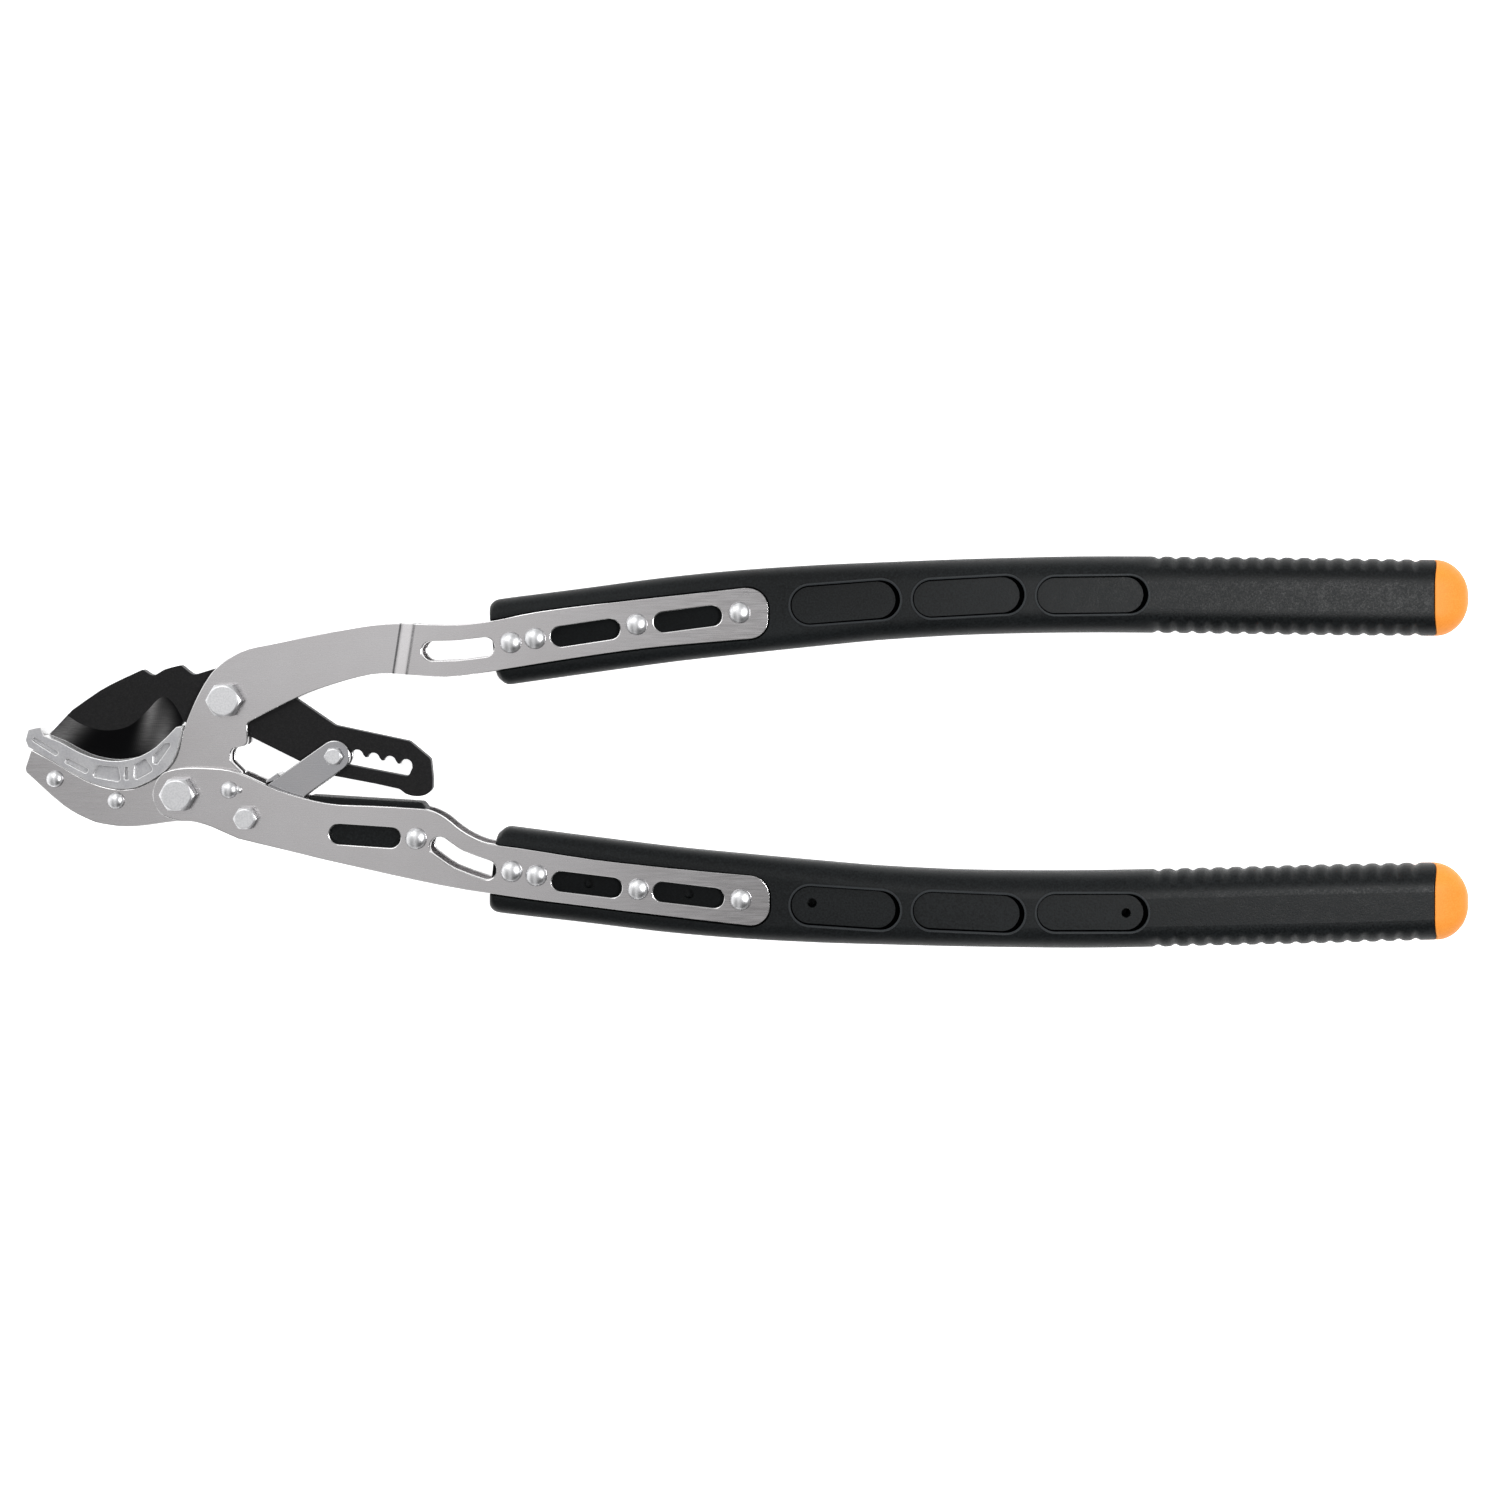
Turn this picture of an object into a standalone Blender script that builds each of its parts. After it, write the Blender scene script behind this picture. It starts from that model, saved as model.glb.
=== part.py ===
"""Two-handed ratchet lopper with an anvil jaw, closed and lying flat, handles along +X.

Metres, +Z up.  Plan positions are written in millimetres from the blade pivot; every
body hangs on an empty that stands on the axis it turns about.
"""
import bpy
import bmesh
import math
from mathutils import Matrix, Vector

MM = 0.001
COLLECTION = "ratchet_lopper"

# ---- where the tool lies ------------------------------------------------------------
PIVOT = (-254.5, 25.6)       # blade pivot, from the middle of the floor rectangle
MID = 13.6                   # height of the tool's middle plane above the floor

# ---- layers, half heights from the middle plane -------------------------------------
BLADE_HALF = 2.1
FRAME_IN = 2.4
FRAME_OUT = 5.4
LINK_OUT = 5.2
PLATE_IN = 5.7
PLATE_OUT = 8.7
JOGGLE = PLATE_IN - FRAME_IN
GAP = 0.3

# ---- pivots -------------------------------------------------------------------------
BLADE_PIN = (0.0, 0.0)
HANDLE_PIN = (-21.5, -45.4)
LINK_PIN = (11.0, -57.0)
RATCHET_PIN = (52.6, -27.4)
STOP_PIN = (2.5, -43.4)
SPACER_RIVET = (93.2, -67.0)
JAW_RIVETS = ((-83.2, -38.4), (-53.5, -49.0))
UPPER_RIVETS = ((139.1, 28.1), (150.9, 30.1), (200.2, 36.9), (250.1, 42.6))
LOWER_RIVETS = ((139.5, -82.9), (151.6, -84.9), (200.9, -91.5), (250.7, -96.6))

# ---- fasteners ----------------------------------------------------------------------
BIG_SHANK = 4.0
BIG_FLATS = 15.0
BIG_HEAD = 5.6
BIG_NUT = 4.6
SMALL_SHANK = 3.0
SMALL_FLATS = 10.0
SMALL_HEAD = 4.0
PIN_SHANK = 2.5
PIN_FLATS = 8.0
PIN_HEAD = 2.5
RIVET_SHANK = 2.8
RIVET_HEAD = 5.2
JAW_SHANK = 2.2
JAW_HEAD = 4.1

# ---- blade ratchet slot ---------------------------------------------------------------
NOTCHES = 4
NOTCH_FIRST = (63.0, -27.5)
NOTCH_STEP = (8.0, -1.57)
NOTCH_RADIUS = 3.05
HOME_CENTRE = (52.9, -27.3)
HOME_RADIUS = 4.2

# ---- handle mouldings -----------------------------------------------------------------
# stations: x, middle line, width, half depth, corner radius
STATIONS = (
    (129.9, 27.4, 30.0, 6.5, 5.0),
    (131.2, 27.6, 36.5, 8.8, 7.0),
    (134.0, 28.0, 40.6, 9.8, 8.0),
    (140.0, 28.9, 42.3, 10.0, 8.0),
    (172.0, 33.2, 41.8, 10.0, 8.0),
    (216.0, 39.1, 41.6, 10.0, 8.0),
    (250.0, 42.7, 41.2, 10.4, 8.4),
    (290.0, 46.1, 39.7, 11.4, 9.6),
    (319.0, 48.1, 38.2, 12.2, 10.4),
    (363.0, 50.2, 37.3, 13.0, 11.4),
    (420.0, 51.4, 37.5, 13.6, 12.0),
    (480.0, 51.0, 37.7, 13.6, 12.0),
    (540.0, 50.3, 38.0, 13.6, 12.0),
    (589.7, 49.7, 37.4, 13.6, 12.0),
)
CAP_STATIONS = (
    (590.0, 1.00), (594.5, 1.00), (599.0, 0.95), (602.6, 0.84), (605.4, 0.66), (607.2, 0.38),
)
SPIGOT = (579.0, 0.60)
# pockets in the grip faces: x from, x to, y from, y to, half height, floor height
POCKETS = (
    (274.2, 328.3, 46.2, 48.8, 10.0, 9.8),
    (333.3, 388.3, 49.3, 51.2, 9.7, 11.1),
    (393.1, 448.0, 50.9, 51.3, 9.6, 12.0),
)
MIRROR_AT = (157.0, -27.3, 0.0064)   # the handles mirror each other about this line

# ---- outlines: x, y, and S for a smooth node or a corner radius ------------------------
S = -1
JAW_CRADLE = (
    (-95.0, -24.0, 1.0), (-84.5, -29.6, S), (-72.8, -36.7, S), (-62.5, -41.4, S),
    (-51.7, -43.5, S), (-42.0, -42.2, S), (-29.3, -34.8, S), (-23.7, -26.7, S),
    (-20.3, -13.1, S),
)
FRAME = JAW_CRADLE + (
    (-13.3, 3.1, S), (-5.3, 15.1, S), (7.4, 23.9, S), (22.3, 27.6, S), (67.1, 36.2, S),
    (84.0, 37.5, S), (100.0, 37.0, S), (113.3, 36.9, S), (127.6, 38.4, S), (153.6, 43.4, S),
    (205.6, 49.7, S), (264.6, 56.1, 10.5), (264.1, 30.4, 9.5), (205.7, 25.2, S),
    (166.7, 19.8, S), (127.7, 13.6, S), (108.0, 11.3, S), (86.0, 12.6, S), (70.7, 12.4, S),
    (44.7, 5.2, S), (29.7, -1.2, S), (10.4, -11.2, 2.5), (10.5, -22.0, 2.6),
    (2.4, -23.8, 3.0), (2.4, -30.0, 3.0), (8.0, -35.5, 1.5), (7.0, -38.0, 1.0),
    (-1.2, -39.6, 2.0), (-1.0, -46.0, S), (-4.5, -55.0, S), (-12.0, -58.2, S),
    (-26.9, -59.4, S), (-38.7, -61.2, S), (-48.0, -61.8, S), (-57.3, -60.9, S),
    (-65.3, -59.0, S), (-79.0, -51.6, S), (-98.4, -34.4, 3.0),
)
JOGGLE_NORMAL = (0.9886, -0.1505)
JOGGLE_FROM = 78.0
JOGGLE_TO = 86.4
LOWER = (
    (-21.5, -32.9, S), (-30.7, -36.1, S), (-34.8, -45.4, S), (-31.2, -54.6, S),
    (-22.0, -58.5, S), (-14.8, -59.0, S), (-6.2, -61.4, S), (6.8, -67.2, 3.0),
    (56.6, -79.2, S), (104.9, -89.8, S), (143.0, -95.9, S), (179.6, -100.5, S),
    (218.6, -105.4, S), (265.2, -110.8, 9.5), (264.8, -85.6, 10.5), (231.6, -82.7, S),
    (179.6, -77.1, S), (143.1, -71.5, S), (128.5, -69.5, S), (121.9, -67.3, S),
    (114.4, -63.0, S), (107.6, -57.5, S), (101.5, -54.1, S), (95.4, -52.5, S),
    (70.8, -51.1, S), (50.0, -49.9, S), (26.8, -43.8, S), (13.3, -37.8, S), (3.0, -33.9, S),
    (-10.0, -32.7, S),
)
CUT_LINE = (
    (-86.6, -16.2, S), (-80.2, -20.3, S), (-72.2, -24.7, S), (-64.2, -27.9, S),
    (-53.5, -29.5, S), (-42.8, -27.7, S), (-33.5, -22.6, S), (-23.8, -13.0, S),
)
GRIND_LINE = (
    (-78.6, -7.7, S), (-71.0, -12.3, S), (-59.6, -15.1, S), (-48.4, -12.9, S),
    (-39.9, -5.9, S), (-32.2, 1.4, S), (-27.8, -0.6, S), (-24.0, -6.0, S), (-21.9, -10.4, S),
)
SPINE = (
    (-76.2, -5.1, S), (-62.6, 4.4, S), (-52.2, 9.9, S), (-41.6, 14.8, 1.5), (-36.6, 11.4, 3.5),
    (-30.8, 14.8, S), (-23.0, 16.9, 1.5), (-17.0, 11.9, 4.0), (-6.3, 15.2, S), (4.0, 17.5, S),
    (16.0, 12.5, S), (33.4, 0.5, S), (52.5, -12.6, 6.0), (88.8, -20.3, 3.5),
    (99.2, -29.0, 2.5), (100.1, -42.6, S), (97.3, -46.2, S), (92.2, -47.3, S),
    (87.2, -46.2, S), (83.2, -43.6, S), (48.0, -36.6, 8.0), (9.7, -17.5, 5.0),
    (3.0, -20.8, S), (-6.0, -21.5, S), (-13.8, -17.8, S), (-18.9, -12.4, 0.6),
)
TANG = (
    (-91.0, -25.0, 0), (-90.0, -38.5, 3), (-76.0, -50.5, 8), (-58.0, -57.0, 6),
    (-44.5, -56.5, 4), (-42.5, -40.0, 0), (-51.7, -40.5, 0), (-66.0, -36.0, 0),
)
ANVIL_POCKETS = (
    ((-93.0, -17.9, 0), (-80.9, -25.4, 0), (-82.1, -27.0, 0), (-94.0, -19.4, 0)),
    ((-77.1, -28.0, 0), (-66.4, -33.6, 0), (-67.5, -35.7, 0), (-77.8, -30.3, 0)),
    ((-62.4, -31.7, 0), (-52.0, -32.6, 0), (-50.7, -39.7, 0), (-64.5, -37.1, 0)),
    ((-45.6, -31.6, 0), (-38.9, -28.2, 0), (-34.9, -34.0, 0), (-46.0, -39.8, 0)),
    ((-29.8, -21.1, 0), (-25.6, -20.6, 0), (-33.2, -31.2, 0), (-34.9, -30.6, 0),
     (-34.9, -27.2, 0)),
)
ANVIL_HALF = 7.0
ANVIL_POCKET_DEPTH = 1.3
BLOCK = (
    (40.3, -46.7, 1.0), (95.6, -50.1, 2.5), (98.2, -54.0, 2.5), (97.0, -63.0, 3.0),
    (95.8, -74.5, 2.0), (40.8, -74.0, 2.0),
)
# slots with round ends: end centres and radius
FRAME_SLOTS = (
    ((100.6, 23.9), (113.5, 24.3), (126.4, 25.9), 4.7),
    ((163.4, 31.0), (187.2, 34.6), 4.9),
    ((213.4, 38.0), (236.7, 41.0), 4.9),
)
LOWER_SLOTS = (
    ((55.9, -64.9), (80.7, -66.6), 4.9),
    ((104.6, -71.0), (113.8, -77.3), (127.4, -82.3), 4.7),
    ((163.8, -87.9), (188.3, -90.9), 4.8),
    ((212.9, -93.0), (237.8, -95.9), 4.8),
)
SCREW_HOLES = ((176.7, -89.4), (225.5, -94.5), (285.3, -98.2), (437.1, -102.6))


# ---- points ---------------------------------------------------------------------------
def corner(before, node, after):
    """Points of a round corner."""
    here = Vector(node[:2])
    a = (Vector(before[:2]) - here)
    b = (Vector(after[:2]) - here)
    if node[2] <= 0:
        return [here]
    half = a.angle(b) / 2
    reach = min(node[2] / math.tan(half), a.length * 0.48, b.length * 0.48)
    radius = reach * math.tan(half)
    centre = here + (a.normalized() + b.normalized()).normalized() * (radius / math.sin(half))
    start = here + a.normalized() * reach - centre
    turn = math.pi - 2 * half
    sign = 1 if a.cross(b) < 0 else -1
    steps = max(1, math.ceil(turn / math.radians(32)))
    points = []
    for i in range(steps + 1):
        spin = Matrix.Rotation(sign * turn * i / steps, 2)
        points.append(centre + spin @ start)
    return points


def tangent(nodes, i, closed):
    """Direction of the curve through a smooth node."""
    n = len(nodes)
    ahead = nodes[(i + 1) % n] if closed else nodes[min(i + 1, n - 1)]
    behind = nodes[(i - 1) % n] if closed else nodes[max(i - 1, 0)]
    return (Vector(ahead[:2]) - Vector(behind[:2])).normalized()


def trace(nodes, closed=True, spacing=7.0):
    """Outline through corners and smooth nodes."""
    n = len(nodes)
    runs = []
    for i, node in enumerate(nodes):
        if node[2] == S or (not closed and i in (0, n - 1)):
            runs.append([Vector(node[:2])])
        else:
            runs.append(corner(nodes[i - 1], node, nodes[(i + 1) % n]))
    points = []
    for i in range(n if closed else n - 1):
        j = (i + 1) % n
        points += runs[i]
        if nodes[i][2] != S and nodes[j][2] != S:
            continue
        p, q = runs[i][-1], runs[j][0]
        span = (q - p).length
        u = tangent(nodes, i, closed) * span if nodes[i][2] == S else (q - p)
        v = tangent(nodes, j, closed) * span if nodes[j][2] == S else (q - p)
        bend = u.angle(q - p) + v.angle(q - p)
        steps = min(4, 1 + int(bend / math.radians(14)) + int(span * bend / spacing / 2))
        for k in range(1, steps):
            t = k / steps
            h = (2 * t**3 - 3 * t**2 + 1, t**3 - 2 * t**2 + t, -2 * t**3 + 3 * t**2, t**3 - t**2)
            points.append(p * h[0] + u * h[1] + q * h[2] + v * h[3])
    if not closed:
        points += runs[-1]
    return points


def offset(points, distance, closed=True):
    """Shift a line sideways, to the left of its direction."""
    n = len(points)
    moved = []
    for i, p in enumerate(points):
        a = points[(i - 1) % n] if closed else points[max(i - 1, 0)]
        b = points[(i + 1) % n] if closed else points[min(i + 1, n - 1)]
        d = (b - a).normalized()
        moved.append(p + Vector((-d.y, d.x)) * distance)
    return moved


def resample(points, count):
    """Evenly spaced points along an open line."""
    lengths = [0.0]
    for a, b in zip(points, points[1:]):
        lengths.append(lengths[-1] + (b - a).length)
    out = []
    for k in range(count):
        want = lengths[-1] * k / (count - 1)
        i = max(j for j in range(len(points) - 1) if lengths[j] <= want + 1e-9)
        share = (want - lengths[i]) / (lengths[i + 1] - lengths[i])
        out.append(points[i].lerp(points[i + 1], min(1.0, share)))
    return out


def circle(centre, radius, count=16):
    return [Vector((centre[0] + radius * math.cos(math.tau * i / count),
                    centre[1] + radius * math.sin(math.tau * i / count))) for i in range(count)]


def slot(spec, ends=5):
    """Round-ended slot along two or three centres."""
    *mids, radius = spec
    mids = [Vector(m) for m in mids]
    first = mids[1] - mids[0]
    last = mids[-1] - mids[-2]
    points = []
    a0 = math.atan2(last.y, last.x)
    for k in range(ends + 1):
        a = a0 - math.pi / 2 + math.pi * k / ends
        points.append(mids[-1] + Vector((math.cos(a), math.sin(a))) * radius)
    bends = offset(mids, radius, closed=False)[1:-1]
    points += bends[::-1]
    a0 = math.atan2(first.y, first.x)
    for k in range(ends + 1):
        a = a0 + math.pi / 2 + math.pi * k / ends
        points.append(mids[0] + Vector((math.cos(a), math.sin(a))) * radius)
    points += offset(mids, -radius, closed=False)[1:-1]
    return points


def right_of(points, x):
    """The part of an outline to the right of a plan line."""
    kept = []
    for a, b in zip(points, points[1:] + points[:1]):
        if a.x > x:
            kept.append(a)
        if (a.x > x) != (b.x > x):
            kept.append(a.lerp(b, (x - a.x) / (b.x - a.x)))
    return kept


def mirrored(x, y):
    """The matching place on the other handle."""
    line = MIRROR_AT[1] + MIRROR_AT[2] * (x - MIRROR_AT[0])
    return x, 2 * line - y


# ---- scene ------------------------------------------------------------------------------
def clear():
    for ob in list(bpy.data.objects):
        bpy.data.objects.remove(ob, do_unlink=True)


def new_collection(name, hidden=False):
    col = bpy.data.collections.new(name)
    bpy.context.scene.collection.children.link(col)
    col.hide_render = hidden
    return col


def material(name, colour, roughness, metallic):
    mat = bpy.data.materials.new(name)
    mat.use_nodes = True
    shader = mat.node_tree.nodes["Principled BSDF"]
    shader.inputs["Base Color"].default_value = (*colour, 1)
    shader.inputs["Roughness"].default_value = roughness
    shader.inputs["Metallic"].default_value = metallic
    mat.diffuse_color = (*colour, 1)
    return mat


def smooth(mesh, angle=35):
    mesh.shade_smooth()
    mesh.set_sharp_from_angle(angle=math.radians(angle))


def finish_mesh(bm, name):
    bm.normal_update()
    bmesh.ops.recalc_face_normals(bm, faces=bm.faces)
    mesh = bpy.data.meshes.new(name)
    bm.to_mesh(mesh)
    bm.free()
    return mesh


def flat(name, loops, low, high):
    """Flat piece from closed outlines, the inner ones being holes."""
    curve = bpy.data.curves.new(name, "CURVE")
    curve.dimensions = "2D"
    curve.fill_mode = "BOTH"
    curve.extrude = (high - low) / 2 * MM
    for loop in loops:
        spline = curve.splines.new("POLY")
        spline.points.add(len(loop) - 1)
        for point, at in zip(spline.points, loop):
            point.co = (at[0] * MM, at[1] * MM, 0, 1)
        spline.use_cyclic_u = True
    holder = bpy.data.objects.new(name + "_outline", curve)
    bpy.context.scene.collection.objects.link(holder)
    mesh = bpy.data.meshes.new_from_object(holder)
    bpy.data.objects.remove(holder)
    bpy.data.curves.remove(curve)
    bm = bmesh.new()
    bm.from_mesh(mesh)
    bpy.data.meshes.remove(mesh)
    bmesh.ops.remove_doubles(bm, verts=bm.verts, dist=1e-6)
    bmesh.ops.translate(bm, verts=bm.verts, vec=(0, 0, (low + high) / 2 * MM))
    return bm


def stack(name, rings, loop=False):
    """Closed skin over rings of points; loop joins the last ring to the first."""
    bm = bmesh.new()
    made = [[bm.verts.new(Vector(p) * MM) for p in ring] for ring in rings]
    pairs = list(zip(made, made[1:])) + ([(made[-1], made[0])] if loop else [])
    for a, b in pairs:
        for i in range(len(a)):
            j = (i + 1) % len(a)
            bm.faces.new((a[i], a[j], b[j], b[i]))
    if not loop:
        bm.faces.new(made[0][::-1])
        bm.faces.new(made[-1])
    return finish_mesh(bm, name)


def ring(radius, z, flats=None, count=18, drop=0.0):
    """Round ring, or a hexagon across the given flats."""
    points = []
    for i in range(count):
        a = math.tau * i / count
        r = radius
        if flats:
            r = flats / 2 / math.cos((a + math.pi / 6) % (math.pi / 3) - math.pi / 6)
        points.append((r * math.cos(a), r * math.sin(a), z - drop * max(0.0, r - radius)))
    return points


# ---- fastener meshes ----------------------------------------------------------------------
def bolt_mesh(name, shank, flats, head, seat, end):
    """Hexagon bolt standing on its axis; seat is where the head starts, end is the tip."""
    crown = flats / 2 * 0.97
    rings = (
        ring(shank * 0.86, end),
        ring(shank, end + 0.6),
        ring(shank, seat),
        ring(crown, seat, flats),
        ring(crown, seat + head, flats, drop=0.55),
        ring(crown, seat + head),
    )
    mesh = stack(name, rings)
    smooth(mesh)
    return mesh


def nut_mesh(name, shank, flats, low, high):
    crown = flats / 2 * 0.97
    rings = (
        ring(shank + GAP, low, count=18),
        ring(crown, low),
        ring(crown, low, flats, drop=-0.55),
        ring(crown, high, flats),
        ring(shank + GAP, high, count=18),
    )
    mesh = stack(name, rings, loop=True)
    smooth(mesh)
    return mesh


def rivet_profile(name, shank, head, seat, height):
    """Half outline of a rivet with a domed head at both ends, from the top down."""
    dome = [(0.0, 1.0), (head * 0.48, 0.94), (head * 0.84, 0.62), (head, 0.0)]
    upper = [(r, seat + height * h) for r, h in dome] + [(shank, seat)]
    points = upper + [(r, -z) for r, z in upper[::-1]]
    bm = bmesh.new()
    verts = [bm.verts.new((r * MM, 0, z * MM)) for r, z in points]
    for a, b in zip(verts, verts[1:]):
        bm.edges.new((a, b))
    mesh = bpy.data.meshes.new(name)
    bm.to_mesh(mesh)
    bm.free()
    return mesh


# ---- sheet pieces ---------------------------------------------------------------------------
def frame_mesh(side):
    """Jaw, arm and strap in one plate, stepped outwards where the strap begins."""
    loops = [trace(FRAME), circle(BLADE_PIN, BIG_SHANK + GAP), circle(HANDLE_PIN, BIG_SHANK + GAP)]
    loops += [circle(at, JAW_SHANK + GAP, 12) for at in JAW_RIVETS]
    loops += [circle(at, RIVET_SHANK + GAP, 12) for at in UPPER_RIVETS]
    loops += [slot(spec) for spec in FRAME_SLOTS]
    bm = flat("frame", loops, FRAME_IN, FRAME_OUT)
    normal = Vector((*JOGGLE_NORMAL, 0))
    for at in (JOGGLE_FROM, JOGGLE_TO):
        geom = bm.verts[:] + bm.edges[:] + bm.faces[:]
        bmesh.ops.bisect_plane(bm, geom=geom, plane_co=normal * at * MM, plane_no=normal)
    for v in bm.verts:
        along = (normal.dot(v.co) / MM - JOGGLE_FROM) / (JOGGLE_TO - JOGGLE_FROM)
        v.co.z += JOGGLE * MM * min(1.0, max(0.0, along))
        v.co.z *= side
    return finish_mesh(bm, "frame_plate")


def lower_mesh(side):
    loops = [trace(LOWER), circle(HANDLE_PIN, BIG_SHANK + GAP)]
    loops += [circle(LINK_PIN, SMALL_SHANK + GAP), circle(STOP_PIN, JAW_SHANK + GAP, 12)]
    loops += [circle(at, RIVET_SHANK + GAP, 12) for at in LOWER_RIVETS + (SPACER_RIVET,)]
    loops += [slot(spec) for spec in LOWER_SLOTS]
    low, high = sorted((PLATE_IN * side, PLATE_OUT * side))
    return finish_mesh(flat("lower", loops, low, high), "lower_plate")


def notch_line():
    """Ratchet slot: home lobe, four hook notches, right end and the plain lower edge."""
    points = []
    for k in range(8):
        a = math.radians(-60 - 270 * k / 7)
        points.append(Vector(HOME_CENTRE) + Vector((math.cos(a), math.sin(a))) * HOME_RADIUS)
    tip = Vector((-3.95, 0.85))
    for n in range(NOTCHES):
        mid = Vector(NOTCH_FIRST) + Vector(NOTCH_STEP) * n
        points.append(mid + tip)
        for deg in (165, 128, 90, 52, 15):
            a = math.radians(deg)
            points.append(mid + Vector((math.cos(a), math.sin(a))) * NOTCH_RADIUS)
    points += [Vector(p) for p in ((90.1, -33.4), (89.3, -36.0), (88.2, -37.2), (86.7, -37.3))]
    points.append(Vector((59.2, -31.9)))
    return points


def blade_mesh():
    """Flat blade whose cutting side is drawn out to a thin edge that follows the anvil."""
    grind = resample(trace(GRIND_LINE, closed=False), 15)
    edge = offset(resample(trace(CUT_LINE, closed=False), 15), 0.4, closed=False)
    edge[-1] = Vector((-22.6, -11.9))
    outline = grind[::-1] + trace(SPINE, closed=False)
    loops = [outline, circle(BLADE_PIN, BIG_SHANK + GAP), notch_line()]
    bm = flat("blade", loops, -BLADE_HALF, BLADE_HALF)

    def place(v):
        flat_at = Vector((v.co.x, v.co.y)) / MM
        near = min(range(15), key=lambda i: (grind[i] - flat_at).length)
        return near if (grind[near] - flat_at).length < 0.01 else None

    walls = [f for f in bm.faces
             if abs(f.normal.z) < 0.1 and all(place(v) is not None for v in f.verts)]
    made = bmesh.ops.extrude_face_region(bm, geom=walls)
    for v in [g for g in made["geom"] if isinstance(g, bmesh.types.BMVert)]:
        i = place(v)
        thin = 0.2 if i < 11 else 0.2 + (i - 10) * 0.32
        side = 1 if v.co.z > 0 else -1
        v.co = Vector((edge[i].x, edge[i].y, side * thin)) * MM
    bmesh.ops.delete(bm, geom=walls, context="FACES_ONLY")
    return finish_mesh(bm, "blade")


def anvil_outline():
    cut = trace(CUT_LINE, closed=False)
    outer = offset(trace(JAW_CRADLE, closed=False), GAP, closed=False)[::-1]
    tip = trace(((-94.0, -23.6, 0), (-97.0, -22.5, 1.2), (-96.2, -13.6, 2.4),
                 (-89.4, -13.0, 1.2), (-86.6, -16.2, 0)), closed=False)
    heel = [Vector((-21.6, -12.7)), Vector((-20.5, -12.7))]
    return cut + heel + outer[:-1] + tip[1:-1]


def prisms(name, shapes):
    """Several separate prisms in one mesh."""
    bm = bmesh.new()
    for outline, low, high in shapes:
        piece = finish_mesh(flat(name, [outline], low, high), name)
        bm.from_mesh(piece)
        bpy.data.meshes.remove(piece)
    return finish_mesh(bm, name)


def link_place(along, across):
    """Place in the plan from distances along and across the link."""
    a = Vector(LINK_PIN)
    d = (Vector(RATCHET_PIN) - a).normalized()
    return a + d * along + Vector((-d.y, d.x)) * across


def spring_mesh():
    """Torsion spring round the link bolt with a leg to the stop pin and one to the link."""
    turns = 2.4
    pitch = 1.25
    coil = 4.5
    link = Vector(RATCHET_PIN) - Vector(LINK_PIN)
    start = math.atan2(link.y, link.x) + math.radians(60)
    stop = Vector(STOP_PIN) - Vector(LINK_PIN)
    points = []
    reach = Vector(LINK_PIN) + stop.normalized() * 19 + Vector((-stop.y, stop.x)).normalized() * 3.3
    low = -turns * pitch / 2
    for k in range(int(turns * 14) + 1):
        a = start + math.tau * k / 14
        points.append((LINK_PIN[0] + coil * math.cos(a), LINK_PIN[1] + coil * math.sin(a),
                       low + pitch * k / 14))
    leg = link_place(19.0, 6.3)
    points.insert(0, (leg.x, leg.y, low))
    points.append((reach.x, reach.y, low + pitch * turns))
    curve = bpy.data.curves.new("spring", "CURVE")
    curve.dimensions = "3D"
    curve.bevel_depth = 0.55 * MM
    curve.bevel_resolution = 1
    curve.use_fill_caps = True
    spline = curve.splines.new("POLY")
    spline.points.add(len(points) - 1)
    for point, at in zip(spline.points, points):
        point.co = (at[0] * MM, at[1] * MM, at[2] * MM, 1)
    holder = bpy.data.objects.new("spring_wire", curve)
    bpy.context.scene.collection.objects.link(holder)
    mesh = bpy.data.meshes.new_from_object(holder)
    bpy.data.objects.remove(holder)
    bpy.data.curves.remove(curve)
    bm = bmesh.new()
    bm.from_mesh(mesh)
    bpy.data.meshes.remove(mesh)
    bmesh.ops.remove_doubles(bm, verts=bm.verts, dist=1e-6)
    mesh = finish_mesh(bm, "pawl_spring")
    smooth(mesh, 60)
    return mesh


# ---- handle mouldings -----------------------------------------------------------------------
def section(x, middle, width, depth, radius, slope, lower):
    """Rounded rectangle square to the handle's middle line."""
    points = []
    half_w = width / 2 - radius
    half_d = depth - radius
    for quarter, (sv, sz) in enumerate(((1, 1), (-1, 1), (-1, -1), (1, -1))):
        for k in range(5):
            a = math.radians(90 * quarter + 22.5 * k)
            v = sv * half_w + radius * math.cos(a)
            z = sz * max(0.0, half_d) + min(radius, depth) * math.sin(a)
            px = x - v * math.sin(slope)
            py = middle + v * math.cos(slope)
            if lower:
                px, py = mirrored(px, py)
            points.append((px, py, z))
    return points


def handle_slope(i):
    a = STATIONS[max(0, i - 1)]
    b = STATIONS[min(len(STATIONS) - 1, i + 1)]
    return math.atan2(b[1] - a[1], b[0] - a[0])


def handle_mesh(lower):
    rings = []
    for i, (x, middle, width, depth, radius) in enumerate(STATIONS):
        slope = math.radians(8.5) if i < 3 else handle_slope(i)
        slope = 0.0 if i == len(STATIONS) - 1 else slope
        rings.append(section(x, middle, width, depth, radius, slope, lower))
    mesh = stack("handle", rings)
    smooth(mesh, 40)
    return mesh


def cap_section(x, scale, lower):
    last = STATIONS[-1]
    return section(x, last[1], last[2] * scale, last[3] * scale, last[4] * scale, 0.0, lower)


def cap_mesh(lower):
    rings = [cap_section(SPIGOT[0], SPIGOT[1], lower), cap_section(590.0, SPIGOT[1], lower)]
    rings += [cap_section(x, scale, lower) for x, scale in CAP_STATIONS]
    mesh = stack("end_cap", rings)
    smooth(mesh, 40)
    return mesh


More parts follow.
